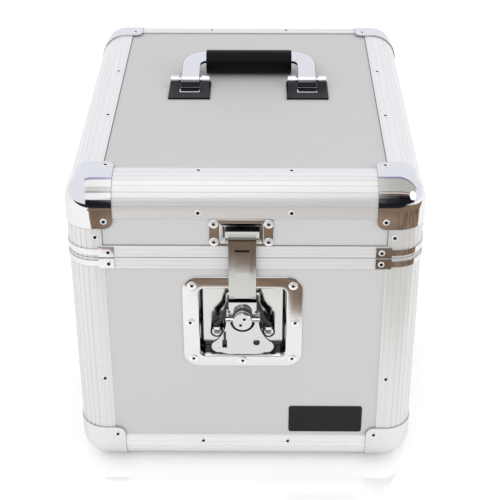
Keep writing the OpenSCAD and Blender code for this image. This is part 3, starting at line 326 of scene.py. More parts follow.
# Pale nickel that paints a highlight: the lit sides of the keeper's pocket and the stud's sides below its head.
PAINTED_PALE_HIGHLIGHT = Finish("painted_pale_highlight", (0.88, 0.88, 0.87), metallic=0.4, gloss=0.25, spread=0.04, scale=500.0)
# Brown that paints the reflection of a brown surround on the right slope of the keeper's pocket.
PAINTED_WARM_REFLECTION = Finish("painted_warm_reflection", (0.30, 0.25, 0.19), metallic=0.4, gloss=0.25, spread=0.08, scale=500.0)
# Dark nickel that paints shade along the rounded edges of bright parts, as a dark outline.
PAINTED_EDGE_SHADE = Finish("painted_edge_shade", (0.22, 0.22, 0.25), metallic=1.0, gloss=0.2, gloss_spread=0.06, spread=0.1,
                     scale=600.0)
# Near-black nickel that paints shade: the dish's walls, the keeper pocket's top, latch faces in shadow and rounded
# edges.
PAINTED_SHADE_NICKEL = Finish("painted_shade_nickel", (0.06, 0.055, 0.065), metallic=1.0, gloss=0.22, gloss_spread=0.08, smudge=0.1,
                     spread=0.3, scale=600.0)
# Flat black that paints shadow: rings on the stud and the slider's posts, the band between the bracket ears and the
# pads in the bracket windows.
PAINTED_SHADOW_BLACK = Finish("painted_shadow_black", (0.012, 0.011, 0.02), gloss=0.3, spread=0.3, scale=600.0, specular=0.03)
RIVET_METAL = Finish("rivet_metal", (0.92, 0.92, 0.93), metallic=0.5, gloss=0.14, gloss_spread=0.08, scale=900.0)
# Near black that paints the shade inside the rivets' hollows.
RIVET_HOLLOW_SHADE = Finish("rivet_hollow_shade", (0.012, 0.012, 0.016), gloss=0.5, spread=0.3, scale=1500.0, specular=0.3)
BRACKET_STEEL = Finish("bracket_steel", (0.012, 0.013, 0.018), metallic=1.0, gloss=0.34, gloss_spread=0.12,
                       smudge=0.1, spread=0.5, scale=1400.0, bump=0.00003)
GRIP_RUBBER = Finish("grip_rubber", (0.002, 0.002, 0.003), gloss=0.34, gloss_spread=0.1, spread=0.3, scale=420.0,
                     grain=Grain.ALONG_X, bump=0.00005, specular=0.14)
FOOT_RUBBER = Finish("foot_rubber", (0.02, 0.02, 0.021), gloss=0.7, spread=0.3, scale=900.0, bump=0.00008)
FOAM = Finish("lining_foam", (0.03, 0.03, 0.033), gloss=0.95, spread=0.5, scale=1400.0, bump=0.0003, specular=0.1,
              sheen=0.3)
# Pale finish for the body's panel lines, which paint the highlight on the lips of the frame.
PAINTED_LIP_HIGHLIGHT = Finish("painted_lip_highlight", (0.92, 0.92, 0.92), metallic=0.3, gloss=0.3, scale=900.0)
# Dark grey for the lid's panel lines and the parting line, which paint shadow at the lips and the parting gap.
PAINTED_SHADOW_LINE = Finish("painted_shadow_line", (0.16, 0.16, 0.16), gloss=0.5, spread=0.3, scale=900.0, specular=0.3)
PLATE_BLACK = Finish("plate_black", (0.012, 0.012, 0.014), gloss=0.35, gloss_spread=0.1, spread=0.2, scale=600.0,
                     specular=0.2)


# ---- mesh workshop ----


def mm(x: float, y: float, z: float) -> Vector:
    """A point given in millimetres."""
    return Vector((x * MM, y * MM, z * MM))


def latch_point(x: float, up: float, out: float) -> Vector:
    """A point in the latch's frame: sideways and up from the stud, and out of the case surface, in millimetres."""
    return mm(LATCH_X + x, FRONT_Y - out, STUD_Z + up)


@dataclass
class Piece:
    """A mesh piece under construction: points and faces, with a finish index per face."""

    name: str
    body: str
    slot: str
    finishes: Sequence[Finish]
    replaced: Sequence[str] = ()
    smooth_angle: float = 40.0
    verts: list[Vector] = field(default_factory=list)
    faces: list[tuple[int, ...]] = field(default_factory=list)
    finish_of: list[int] = field(default_factory=list)

    def add(self, verts: Iterable[Vector], faces: Iterable[Sequence[int]], finish: int = 0) -> None:
        """Adds points and faces.

        Args:
            verts: The new points.
            faces: Faces that count from the first new point.
            finish: Index into the piece's finishes.
        """
        start = len(self.verts)
        self.verts.extend(Vector(v) for v in verts)
        for face in faces:
            self.faces.append(tuple(start + i for i in face))
            self.finish_of.append(finish)

    def loft(self, loops: Sequence[Loop], wrap: bool = False) -> None:
        """Joins loops of equal length into a skin.

        Args:
            loops: Closed loops, in order.
            wrap: Whether the last loop joins the first. If not, both are filled.
        """
        loops = [*loops, loops[0]] if wrap else loops
        count = len(loops[0])
        faces = []
        for k in range(len(loops) - 1):
            for i in range(count):
                j = (i + 1) % count
                faces.append((k * count + i, k * count + j, (k + 1) * count + j, (k + 1) * count + i))
        if not wrap:
            faces.append(tuple(reversed(range(count))))
            faces.append(tuple((len(loops) - 1) * count + i for i in range(count)))
        self.add([p for loop in loops for p in loop], faces)

    def make(self) -> bpy.types.Object:
        """Makes the Blender object, dresses it and lets it ride on its body.

        Returns:
            The finished object.
        """
        mesh = bpy.data.meshes.new(self.name)
        mesh.from_pydata([tuple(v) for v in self.verts], [], self.faces)
        for finish in self.finishes:
            mesh.materials.append(finish.material())
        mesh.polygons.foreach_set("material_index", self.finish_of)
        work = bmesh.new()
        work.from_mesh(mesh)
        bmesh.ops.recalc_face_normals(work, faces=work.faces)
        work.to_mesh(mesh)
        work.free()
        piece = bpy.data.objects.new(self.name, mesh)
        bpy.context.scene.collection.objects.link(piece)
        shade_by_angle(piece, self.smooth_angle)
        return settle(piece, self.body, self.slot, self.replaced)


def settle(piece: bpy.types.Object, body: str, slot: str, replaced: Sequence[str]) -> bpy.types.Object:
    """Rides a piece on its body and hides the CAD nodes that it stands for.

    Args:
        piece: The object, in place.
        body: The CAD body.
        slot: The record's material slot; not used.
        replaced: CAD nodes that the piece stands for.

    Returns:
        The same object.
    """
    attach(piece, body)
    if replaced:
        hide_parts(*replaced)
    log.info("piece %s on %s, %d faces", piece.name, body, len(piece.data.polygons))
    return piece


def shade_by_angle(piece: bpy.types.Object, degrees: float) -> None:
    """Smooth shading with sharp edges above an angle.

    Args:
        piece: A mesh object.
        degrees: The angle.
    """
    mesh = piece.data
    limit = math.radians(degrees)
    work = bmesh.new()
    work.from_mesh(mesh)
    for face in work.faces:
        face.smooth = True
    for edge in work.edges:
        edge.smooth = len(edge.link_faces) == 2 and edge.calc_face_angle(0.0) < limit
    work.to_mesh(mesh)
    work.free()


def rounded_loop(width: float, height: float, radius: float, place: Place, steps: int) -> Loop:
    """A rounded rectangle about the origin.

    Args:
        width: Width in millimetres.
        height: Height in millimetres.
        radius: Corner radius in millimetres.
        place: Turns the two flat coordinates into a point.
        steps: Segments in each corner.

    Returns:
        The loop's points, anticlockwise.
    """
    loop = []
    for corner, (sx, sy) in enumerate(((1, 1), (-1, 1), (-1, -1), (1, -1))):
        cx, cy = sx * (width / 2 - radius), sy * (height / 2 - radius)
        for i in range(steps + 1):
            angle = math.radians(90 * corner + 90 * i / steps)
            loop.append(place(cx + radius * math.cos(angle), cy + radius * math.sin(angle)))
    return loop


def ring(radius: float, place: Place, count: int) -> Loop:
    """A circle's points.

    Args:
        radius: Radius in millimetres.
        place: Turns the two flat coordinates into a point.
        count: How many points.

    Returns:
        The loop's points.
    """
    turns = (2 * math.pi * i / count for i in range(count))
    return [place(radius * math.cos(t), radius * math.sin(t)) for t in turns]


def in_latch(point: Vector) -> Vector:
    """A point in millimetres, turned into the latch's frame: sideways, up from the stud and out of the case surface."""
    return Vector((point.x - LATCH_X, point.z - STUD_Z, FRONT_Y - point.y))


@dataclass
class Softened:
    """A copy of a CAD node with rounded edges, which stands for it.

    The first finish is the main one, the second is for the rounded edges, and more may follow. The chooser gets a
    face's middle in millimetres and its normal, and the shaper moves a point given in millimetres. A cut is a point
    in metres and a direction: it splits the faces there, so that the chooser can tell its two sides apart.
    """

    node: str
    body: str
    slot: str
    finishes: Sequence[Finish]
    radius: float = 0.4
    choose: Callable[[Vector, Vector], int] | None = None
    shape: Callable[[Vector], Vector] | None = None
    cuts: Sequence[tuple[Vector, Side]] = ()
    segments: int = 2
    sharp: float = 35.0
    flat: float = 0.5
    fullness: float = 0.6
    face_weight: int = 90

    def make(self) -> bpy.types.Object:
        """Copies the node, rounds its edges and dresses it.

        Returns:
            The finished object.
        """
        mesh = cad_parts[self.node].data.copy()
        mesh.materials.clear()
        for finish in self.finishes:
            mesh.materials.append(finish.material())
        work = bmesh.new()
        work.from_mesh(mesh)
        bmesh.ops.remove_doubles(work, verts=work.verts, dist=MERGE)
        bmesh.ops.dissolve_limit(work, angle_limit=math.radians(self.flat), verts=work.verts, edges=work.edges)
        if self.shape:
            for vert in work.verts:
                vert.co = self.shape(vert.co / MM) * MM
            work.normal_update()
        for cut, facing in self.cuts:
            geometry = work.verts[:] + work.edges[:] + work.faces[:]
            bmesh.ops.bisect_plane(work, geom=geometry, plane_co=cut, plane_no=facing.value)
        edges = [e for e in work.edges if len(e.link_faces) == 2 and e.calc_face_angle(0.0) > math.radians(self.sharp)]
        rounded = bmesh.ops.bevel(work, geom=edges, offset=self.radius * MM, segments=self.segments,
                                  profile=self.fullness, affect="EDGES", clamp_overlap=True, loop_slide=True)
        work.normal_update()
        for face in work.faces:
            face.material_index = self.choose(face.calc_center_median() / MM, face.normal) if self.choose else 0
        # Rounded edges take the second finish; in this script that is always painted edge shade.
        for face in rounded["faces"]:
            face.material_index = min(1, len(self.finishes) - 1)
        work.to_mesh(mesh)
        work.free()
        piece = bpy.data.objects.new(f"{self.node}_soft", mesh)
        bpy.context.scene.collection.objects.link(piece)
        shade_by_angle(piece, self.sharp)
        even = piece.modifiers.new("even_normals", "WEIGHTED_NORMAL")
        even.keep_sharp = True
        even.weight = self.face_weight
        return settle(piece, self.body, self.slot, (self.node,))


def dress(node: str, finish: Finish) -> None:
    """Gives a CAD node its finish.

    Args:
        node: The CAD node.
        finish: The finish.
    """
    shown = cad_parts[node]
    if not shown.data.materials:
        shown.data.materials.append(finish.material())
    for slot in shown.material_slots:
        slot.material = finish.material()


# ---- sub-assemblies ----


@dataclass
class Shell:
    """The panels, edge extrusions, rims and posts of the body and the lid."""

    panels: tuple[str, ...] = ("base_panel", "front_panel", "back_panel", "left_panel", "right_panel",
                               "lid_top_panel", "lid_front_panel", "lid_back_panel", "lid_left_panel",
                               "lid_right_panel")
    along_x: tuple[str, ...] = ("front", "back")
    along_y: tuple[str, ...] = ("left", "right")
    bars: tuple[str, ...] = ("base_edge", "body_rim", "lid_edge", "lid_rim")
    posts: tuple[str, ...] = ("body_post_front_left", "body_post_front_right", "body_post_back_left",
                              "body_post_back_right", "lid_posts")

    def build(self) -> None:
        """Dresses the shell's CAD nodes."""
        for node in self.panels:
            dress(node, LAMINATE)
        for bar in self.bars:
            metal = RIM_ALUMINIUM if bar.endswith("rim") else EDGE_ALUMINIUM
            for side in self.along_x:
                dress(f"{bar}_{side}", metal[Grain.ALONG_X])
            for side in self.along_y:
                dress(f"{bar}_{side}", metal[Grain.ALONG_Y])
        for node in self.posts:
            dress(node, POST_ALUMINIUM[Grain.ALONG_Z])
        log.info("shell dressed")


@dataclass
class PanelEdgeLines:
    """Thin lines round each panel against the lips of its frame: dark ones on the lid that paint shadow, pale ones on
    the body that paint the lips' highlight.
    """

    lip: float = 36.5
    body_rim: float = 12.6
    lid_rim: float = 13.2
    sink: float = 1.6
    root: float = 0.1
    width: float = 0.7
    rise: float = 0.35
    crest: float = 0.7
    slope: float = 0.15

    def frame_strip(self, piece: Piece, middle: float, size: tuple[float, float], place: Place3) -> None:
        """One closed strip along a rectangle's inside.

        Args:
            piece: The piece that takes the mesh.
            middle: How far up the rectangle's middle is.
            size: Its width and height.
            place: Turns the flat coordinates and the distance out of the case surface into a point.
        """
        def loop(inset: float, out: float) -> Loop:
            """One rectangular loop."""
            half_w, half_h = size[0] / 2 - inset, size[1] / 2 - inset
            return [place(sx * half_w, middle + sy * half_h, out) for sx, sy in ((1, 1), (-1, 1), (-1, -1), (1, -1))]

        low, high = -self.sink - self.root, -self.sink + self.rise
        outline = ((0.0, low), (0.0, high), (self.width * self.crest, high), (self.width, high - self.slope),
                   (self.width, low))
        piece.loft([loop(inset, out) for inset, out in outline], wrap=True)

    def build(self) -> None:
        """Builds the painted highlight lines of the body and the painted shadow lines of the lid."""
        half_w = CASE_W / 2
        wide, deep = CASE_W - 2 * self.lip, CASE_D - 2 * self.lip
        faces = {
            Side.FRONT: lambda a, b, out: mm(a, FRONT_Y - out, b + FLOOR_GAP),
            Side.BACK: lambda a, b, out: mm(a, FRONT_Y + CASE_D + out, b + FLOOR_GAP),
            Side.LEFT: lambda a, b, out: mm(-half_w - out, a + SHIFT_Y, b + FLOOR_GAP),
            Side.RIGHT: lambda a, b, out: mm(half_w + out, a + SHIFT_Y, b + FLOOR_GAP),
            Side.TOP: lambda a, b, out: mm(a, b + SHIFT_Y, CASE_H + FLOOR_GAP + out),
            Side.BOTTOM: lambda a, b, out: mm(a, b + SHIFT_Y, FLOOR_GAP - out),
        }
        # The body's lines paint the lips' highlight; the lid's lines paint shadow.
        spans = {"body_panel_highlight_lines": ("case", PAINTED_LIP_HIGHLIGHT, Side.BOTTOM, self.lip, PARTING - self.body_rim),
                 "lid_panel_shadow_lines": ("lid", PAINTED_SHADOW_LINE, Side.TOP, PARTING + self.lid_rim, CASE_H - self.lip)}
        for name, (body, finish, flat, low, high) in spans.items():
            piece = Piece(name, body, "feet_rubber", (finish,))
            self.frame_strip(piece, 0.0, (wide, deep), faces[flat])
            for side, width in ((Side.FRONT, wide), (Side.BACK, wide), (Side.LEFT, deep), (Side.RIGHT, deep)):
                self.frame_strip(piece, (low + high) / 2, (width, high - low), faces[side])
            piece.make()


@dataclass
class Rivets:
    """Blind rivets with a domed flange and a hollow painted near black as shade, at the places of the CAD rivets.

    The dome's points are shares of the head's radius and height, and the mouth's are shares of the hollow's radius
    and the head's height, with the finish of the face that ends there. The root and the flush head give heights in
    millimetres instead.
    """

    node: str
    body: str
    top: float = CASE_H + FLOOR_GAP
    bottom: float = FLOOR_GAP
    head_h: float = 1.0
    small_hollow: float = 0.55
    large_hollow: float = 0.34
    large_from: float = 4.0
    flush_below: float = 2.4
    segments: int = 28
    root: tuple[float, float] = (0.96, -0.3)
    dome: tuple[tuple[float, float], ...] = ((1.0, 0.0), (1.0, 0.22), (0.95, 0.42), (0.84, 0.7), (0.7, 0.9))
    # Faces with finish 1 are the hollow, painted near black as shade.
    mouth: tuple[tuple[float, float, int], ...] = (
        (1.22, 1.0, 0), (1.06, 0.93, 0), (1.0, 0.7, 0), (0.95, 0.2, 1), (0.55, 0.1, 1), (0.42, 0.45, 1))
    flush: tuple[tuple[float, float], ...] = ((1.0, -0.5), (1.0, 0.0), (0.8, 0.14), (0.4, 0.2))

    def islands(self) -> list[np.ndarray]:
        """Splits the CAD node into its separate solids.

        Returns:
            One array of points for each solid.
        """
        work = bmesh.new()
        work.from_mesh(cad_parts[self.node].data)
        bmesh.ops.remove_doubles(work, verts=work.verts, dist=MERGE)
        seen: set[int] = set()
        found = []
        work.verts.ensure_lookup_table()
        for first in work.verts:
            if first.index in seen:
                continue
            stack, members = [first], []
            seen.add(first.index)
            while stack:
                vert = stack.pop()
                members.append(tuple(vert.co))
                for edge in vert.link_edges:
                    other = edge.other_vert(vert)
                    if other.index not in seen:
                        seen.add(other.index)
                        stack.append(other)
            found.append(np.array(members) / MM)
        work.free()
        return found

    def side_of(self, centre: Vector) -> Side:
        """The case face that a rivet stands on: the nearest one.

        Args:
            centre: The rivet's middle, in millimetres.

        Returns:
            The face.
        """
        gaps = {
            Side.FRONT: centre.y - FRONT_Y,
            Side.BACK: FRONT_Y + CASE_D - centre.y,
            Side.LEFT: centre.x + CASE_W / 2,
            Side.RIGHT: CASE_W / 2 - centre.x,
            Side.TOP: self.top - centre.z,
            Side.BOTTOM: centre.z - self.bottom,
        }
        return min(gaps, key=lambda side: gaps[side])

    def profile(self, radius: float, hollow: float) -> list[tuple[float, float, int]]:
        """The head's outline, from the rim to the middle of the hollow.

        Args:
            radius: The head's radius.
            hollow: The hollow's radius.

        Returns:
            The outline's points as radius, height and the finish of the face that ends there.
        """
        points = [(radius * self.root[0], self.root[1], 0)]
        points += [(radius * share, high * self.head_h, 0) for share, high in self.dome]
        return points + [(hollow * share, high * self.head_h, finish) for share, high, finish in self.mouth]

    def build(self) -> None:
        """Builds one mesh for all the node's rivets."""
        piece = Piece(f"{self.node}_domed", self.body, "rivet_steel", (RIVET_METAL, RIVET_HOLLOW_SHADE, BRACKET_STEEL),
                      (self.node,))
        for points in self.islands():
            low, high = points.min(0), points.max(0)
            centre = Vector((low + high) / 2)
            out = Vector(self.side_of(centre).value)
            radius = max(high[i] - low[i] for i in range(3) if not out[i]) / 2
            top = max(Vector(p).dot(out) for p in (low, high))
            axis = centre - out * centre.dot(out)
            if radius < self.flush_below:
                self.add_lathe(piece, [(radius * share, high, 2) for share, high in self.flush], axis + out * top, out)
            else:
                ratio = self.large_hollow if radius > self.large_from else self.small_hollow
                self.add_lathe(piece, self.profile(radius, radius * ratio), axis + out * (top - self.head_h), out)
        piece.make()

    def add_lathe(self, piece: Piece, outline: Sequence[tuple[float, float, int]], seat: Vector, out: Vector) -> None:
        """Turns an outline about a rivet's axis.

        Args:
            piece: The piece that takes the mesh.
            outline: Radius, height and finish of each point.
            seat: The middle of the rivet's seat, in millimetres.
            out: Direction of the axis.
        """
        across = out.orthogonal().normalized()
        up = out.cross(across)
        loops = [ring(r, lambda a, b, h=h: (seat + across * a + up * b + out * h) * MM, self.segments)
                 for r, h, _ in outline]
        count = self.segments
        for k in range(len(outline) - 1):
            faces = [(i, (i + 1) % count, count + (i + 1) % count, count + i) for i in range(count)]
            piece.add(loops[k] + loops[k + 1], faces, outline[k + 1][2])
        piece.add(loops[0], [tuple(reversed(range(count)))], 0)
        piece.add(loops[-1], [tuple(range(count))], outline[-1][2])


@dataclass
class PressedDish:
    """The latch's pressed dish: a flange, a rolled lip, steep walls and a flat floor."""

    width: float = 121.7
    height: float = 109.0
    corner: float = 16.0
    recess_r: float = 5.0
    least_r: float = 1.0
    sheet: float = 1.5
    flange_front: float = -0.1
    floor_front: float = -14.6
    steps: int = 12
    wall_strip: int = 16
    floor_strip: int = 20

    def loop(self, width: float, height: float, radius: float, out: float) -> Loop:
        """One rounded loop about the dish's middle."""
        return rounded_loop(width, height, radius, lambda a, b: latch_point(a, b - RECESS_DROP, out), self.steps)

    def around_recess(self, grow: float, out: float) -> Loop:
        """A loop that follows the recess, larger by grow on each side."""
        return self.loop(RECESS_W + 2 * grow, RECESS_H + 2 * grow, max(self.recess_r + grow, self.least_r), out)

    def around_flange(self, less: float, tighter: float, out: float) -> Loop:
        """A loop that follows the flange's edge, smaller by less overall and with tighter corners."""
        return self.loop(self.width - less, self.height - less, self.corner - tighter, out)

    def build(self) -> None:
        """Builds the dish, from the back of its floor round the flange to the front of its floor, with painted shade on
        its walls and lighter painted shade on its front floor.
        """
        front, deep, sheet = self.flange_front, self.floor_front, self.sheet
        back, under = front - sheet, deep - sheet
        behind = ((-6.0, under), (-1.0, under), (1.0, under + 1.0), (sheet, deep + 1.5), (sheet, back - 0.3),
                  (sheet + 0.6, back))
        edge = ((0.4, 0.0, back), (0.0, 0.0, back + 0.3), (0.0, 0.0, front - 0.5), (0.5, 0.0, front - 0.12),
                (1.4, 0.5, front))
        inside = ((2.7, front), (2.3, front), (1.6, front - 0.2), (0.9, front - 0.8), (0.35, front - 1.8),
                  (0.1, front - 3.2), (-0.2, deep + 2.2), (-0.6, deep + 1.1), (-1.4, deep + 0.35),
                  (-2.6, deep + 0.02), (-6.0, deep))
        loops = [self.around_recess(*spot) for spot in behind]
        loops += [self.around_flange(*spot) for spot in edge]
        loops += [self.around_recess(*spot) for spot in inside]
        piece = Piece("latch_dish_pressed", "case", "bright_steel", (SHEET_NICKEL, PAINTED_SHADE_NICKEL, RECESS_SHADED_NICKEL),
                      ("latch_dish",))
        piece.loft(loops)
        count = len(loops[0])
        # The walls take the near-black painted shade; the front floor takes the lighter painted shade of the recess.
        for index in range(self.wall_strip, len(loops) - 1):
            shade = 1 if index < self.floor_strip else 2
            piece.finish_of[index * count:(index + 1) * count] = [shade] * count
        piece.finish_of[-1] = 2
        piece.make()


@dataclass
class PressedKeeper:
    """The keeper: a flange with a sloping pocket for the strap's hook."""

    width: float = 63.5
    height: float = 29.8
    rise: float = 96.7
    shift: float = -1.0
    corner: float = 2.5
    mouth_corner: float = 1.2
    floor_corner: float = 0.8
    front: float = -0.1
    sheet: float = 1.5
    mouth_w: float = 43.0
    mouth_low: float = 84.6
    mouth_high: float = 107.2
    floor_w: float = 35.0
    floor_low: float = 90.0
    floor_high: float = 102.6
    depth: float = 3.6
    steps: int = 6
    roll_strip: int = 8
    slope_strip: int = 9
    top_before: int = 4
    top_after: int = 3

    def loop(self, width: float, low: float, high: float, radius: float, out: float) -> Loop:
        """One rounded loop between two heights."""
        return rounded_loop(width, high - low, radius,
                            lambda a, b: latch_point(self.shift + a, (low + high) / 2 + b, out), self.steps)

    def mouth(self, grow: float, out: float) -> Loop:
        """A loop along the pocket's mouth."""
        return self.loop(self.mouth_w + 2 * grow, self.mouth_low - grow, self.mouth_high + grow, self.mouth_corner, out)

    def floor(self, grow: float, out: float) -> Loop:
        """A loop along the pocket's floor."""
        return self.loop(self.floor_w + 2 * grow, self.floor_low - grow, self.floor_high + grow, self.floor_corner, out)

    def flange(self, grow: float, out: float) -> Loop:
        """A loop along the flange's edge."""
        half = self.height / 2 + grow
        return self.loop(self.width + 2 * grow, self.rise - half, self.rise + half, self.corner, out)

    def build(self) -> None:
        """Builds the keeper, with painted shade on its pocket's top, a painted brown reflection on its right side and a
        painted highlight on its other sides.
        """
        front, back, deep = self.front, self.front - self.sheet, self.front - self.depth
        outline = (
            (self.floor, -1.0, deep - self.sheet), (self.floor, 0.6, deep - self.sheet), (self.mouth, 0.4, back),
            (self.flange, -0.3, back), (self.flange, 0.0, back + 0.3), (self.flange, 0.0, front - 0.35),
            (self.flange, -0.35, front), (self.mouth, 1.0, front), (self.mouth, 0.6, front),
            (self.mouth, -0.1, front - 0.25), (self.floor, 0.5, deep + 0.3), (self.floor, -0.4, deep),
            (self.floor, -1.6, deep))
        loops = [edge(grow, out) for edge, grow, out in outline]
        piece = Piece("keeper_pressed", "lid", "bright_steel", (SHEET_NICKEL, PAINTED_SHADE_NICKEL, PAINTED_PALE_HIGHLIGHT, PAINTED_WARM_REFLECTION),
                      ("keeper_plate",), smooth_angle=30.0)
        piece.loft(loops)
        count = len(loops[0])
        # The pocket's top gets painted shade, its right side a painted brown reflection and its other sides a painted
        # highlight.
        top_from = count // 4 - self.top_before
        for index in range(count):
            top_side = top_from <= index < count // 4 + self.top_after
            right_side = index < top_from or index >= count - self.top_before
            piece.finish_of[self.slope_strip * count + index] = 1 if top_side else 3 if right_side else 2
            piece.finish_of[self.roll_strip * count + index] = 1 if top_side else 0
        piece.make()


@dataclass
class Handle:
    """The flat bail and the round rubber grip with soft ends."""

    length: float = 96.0
    radius: float = 14.0
    slim: float = 0.5
    soft: float = 1.2
    axis_u: float = 35.9
    pivot_h: float = 8.0
    panel_sink: float = 1.6
    handle_x: float = 1.5
    handle_y: float = 22.0
    seat_gap: float = 0.3
    segments: int = 64
    end_hollow: tuple[tuple[float, float], ...] = ((5.0, 0.6), (3.2, 0.1))
    turns: tuple[float, ...] = (30.0, 60.0, 90.0)
    shares: tuple[float, ...] = (0.9, 0.75, 0.5, 0.25, 0.0)

    def frame_at_rest(self) -> Matrix:
        """The handle's frame at rest.

        Returns:
            The frame, with its origin on the pivot, in metres.
        """
        tilt = math.asin((self.radius + self.seat_gap - self.pivot_h) / self.axis_u)
        height = CASE_H - self.panel_sink + self.pivot_h + FLOOR_GAP
        origin = mm(self.handle_x, self.handle_y + SHIFT_Y, height)
        return Matrix.Translation(origin) @ Matrix.Rotation(tilt, 4, "X")

    def build(self) -> None:
        """Builds the bail, and the grip as a turned shape."""
        # The bail's rounded edges get painted edge shade as a dark outline.
        Softened("handle_bail", "handle", "bright_steel", (CHROME, PAINTED_EDGE_SHADE), radius=0.7).make()
        place = self.frame_at_rest()
        half, soft, radius = self.length / 2, self.soft, self.radius - self.slim
        outline = [(radius - less, half - sunk) for less, sunk in self.end_hollow] + [(radius - soft, half)]
        outline += [(radius - soft + soft * math.sin(a), half - soft + soft * math.cos(a))
                    for a in np.radians(self.turns)]
        outline += [(radius, half * share) for share in self.shares]
        outline += [(r, -x) for r, x in reversed(outline[:-1])]
        loops = [ring(r, lambda a, b, x=x: place @ mm(x, self.axis_u + a, b), self.segments) for r, x in outline]
        piece = Piece("handle_grip_moulded", "handle", "grip_rubber", (GRIP_RUBBER,), ("handle_grip",),
                      smooth_angle=50.0)
        piece.loft(loops)
        piece.make()


@dataclass
class Foam:
    """The base pad, the lid pad and the wall lining, each crowned with soft edges."""

    fit: float = 0.3
    thick: float = 2.5
    soft: float = 0.8
    crown: float = 0.15
    pad_corner: float = 17.8
    hole_corner: float = 5.0
    hole_room: float = 6.0
    rim_h: float = 12.4
    parting_half: float = 0.2
    fullness: float = 0.9
    steps: int = 6

    def slab(self, name: str, body: str, replaced: Sequence[str], width: float, height: float, place: Place3,
             corner: float = 2.0, hole: tuple[float, float, float, float] | None = None) -> None:
        """A thin pad with rounded edges, from its back at 0 to its face at the pad's thickness.

        Args:
            name: The piece's name.
            body: The body that carries it.
            replaced: The CAD nodes that it stands for.
            width: Width in millimetres.
            height: Height in millimetres.
            place: Turns width, height and thickness coordinates into a point.
            corner: Corner radius in millimetres.
            hole: Middle, width and height of a cut-out.
        """
        def edge(grow: float, depth: float) -> Loop:
            """One loop along the pad's edge."""
            return rounded_loop(width + 2 * grow, height + 2 * grow, corner, lambda a, b: place(a, b, depth),
                                self.steps)

        def mouth(grow: float, depth: float) -> Loop:
            """One loop along the cut-out."""
            cx, cy, w, h = hole
            return rounded_loop(w + 2 * grow, h + 2 * grow, self.hole_corner,
                                lambda a, b: place(cx + a, cy + b, depth), self.steps)

        t, soft = self.thick, self.soft
        loops = [edge(*spot) for spot in ((-0.5, 0.0), (0.0, 0.4), (0.0, t - soft), (-0.3, t - 0.3), (-1.0, t - 0.1),
                                          (-12.0, t))]
        piece = Piece(name, body, "foam", (FOAM,), replaced, smooth_angle=60.0)
        if hole:
            inner = ((0.8, t - 0.1), (0.2, t - 0.4), (0.0, t - soft), (0.0, 0.4), (0.5, 0.0))
            piece.loft(loops + [mouth(*spot) for spot in inner], wrap=True)
        else:
            piece.loft(loops + [edge(-40.0, t - self.crown)])
        piece.make()

    def build(self) -> None:
        """Builds all the foam."""
        inner = WALL_T + self.fit
        width, depth = CASE_W - 2 * inner, CASE_D - 2 * inner
        low, high = FLOOR_GAP + inner, FLOOR_GAP + CASE_H - inner
        self.slab("base_pad_foam", "case", ("base_pad",), width, depth,
                  lambda a, b, t: mm(a, SHIFT_Y + b, low + t), self.pad_corner)
        self.slab("lid_pad_foam", "lid", ("lid_pad",), width, depth,
                  lambda a, b, t: mm(a, SHIFT_Y + b, high - t), self.pad_corner)
        bottom = low + self.thick + self.fit
        top = FLOOR_GAP + PARTING - self.parting_half - self.rim_h
        height, middle = top - bottom, (top + bottom) / 2
        front, back = FRONT_Y + inner, FRONT_Y + CASE_D - inner
        hole = (LATCH_X, STUD_Z - RECESS_DROP - middle, RECESS_W + self.hole_room, RECESS_H + self.hole_room)
        spare = 2 * (self.thick + self.fit)
        self.slab("lining_front", "case", ("wall_lining",), width - spare, height,
                  lambda a, b, t: mm(a, front + t, middle + b), hole=hole)
        self.slab("lining_back", "case", (), width - spare, height, lambda a, b, t: mm(a, back - t, middle + b))
        for name, sign in (("left", -1), ("right", 1)):
            wall = sign * (CASE_W / 2 - inner)
            self.slab(f"lining_{name}", "case", (), depth - spare, height,
                      lambda a, b, t, wall=wall, sign=sign: mm(wall - sign * t, SHIFT_Y + a, middle + b))


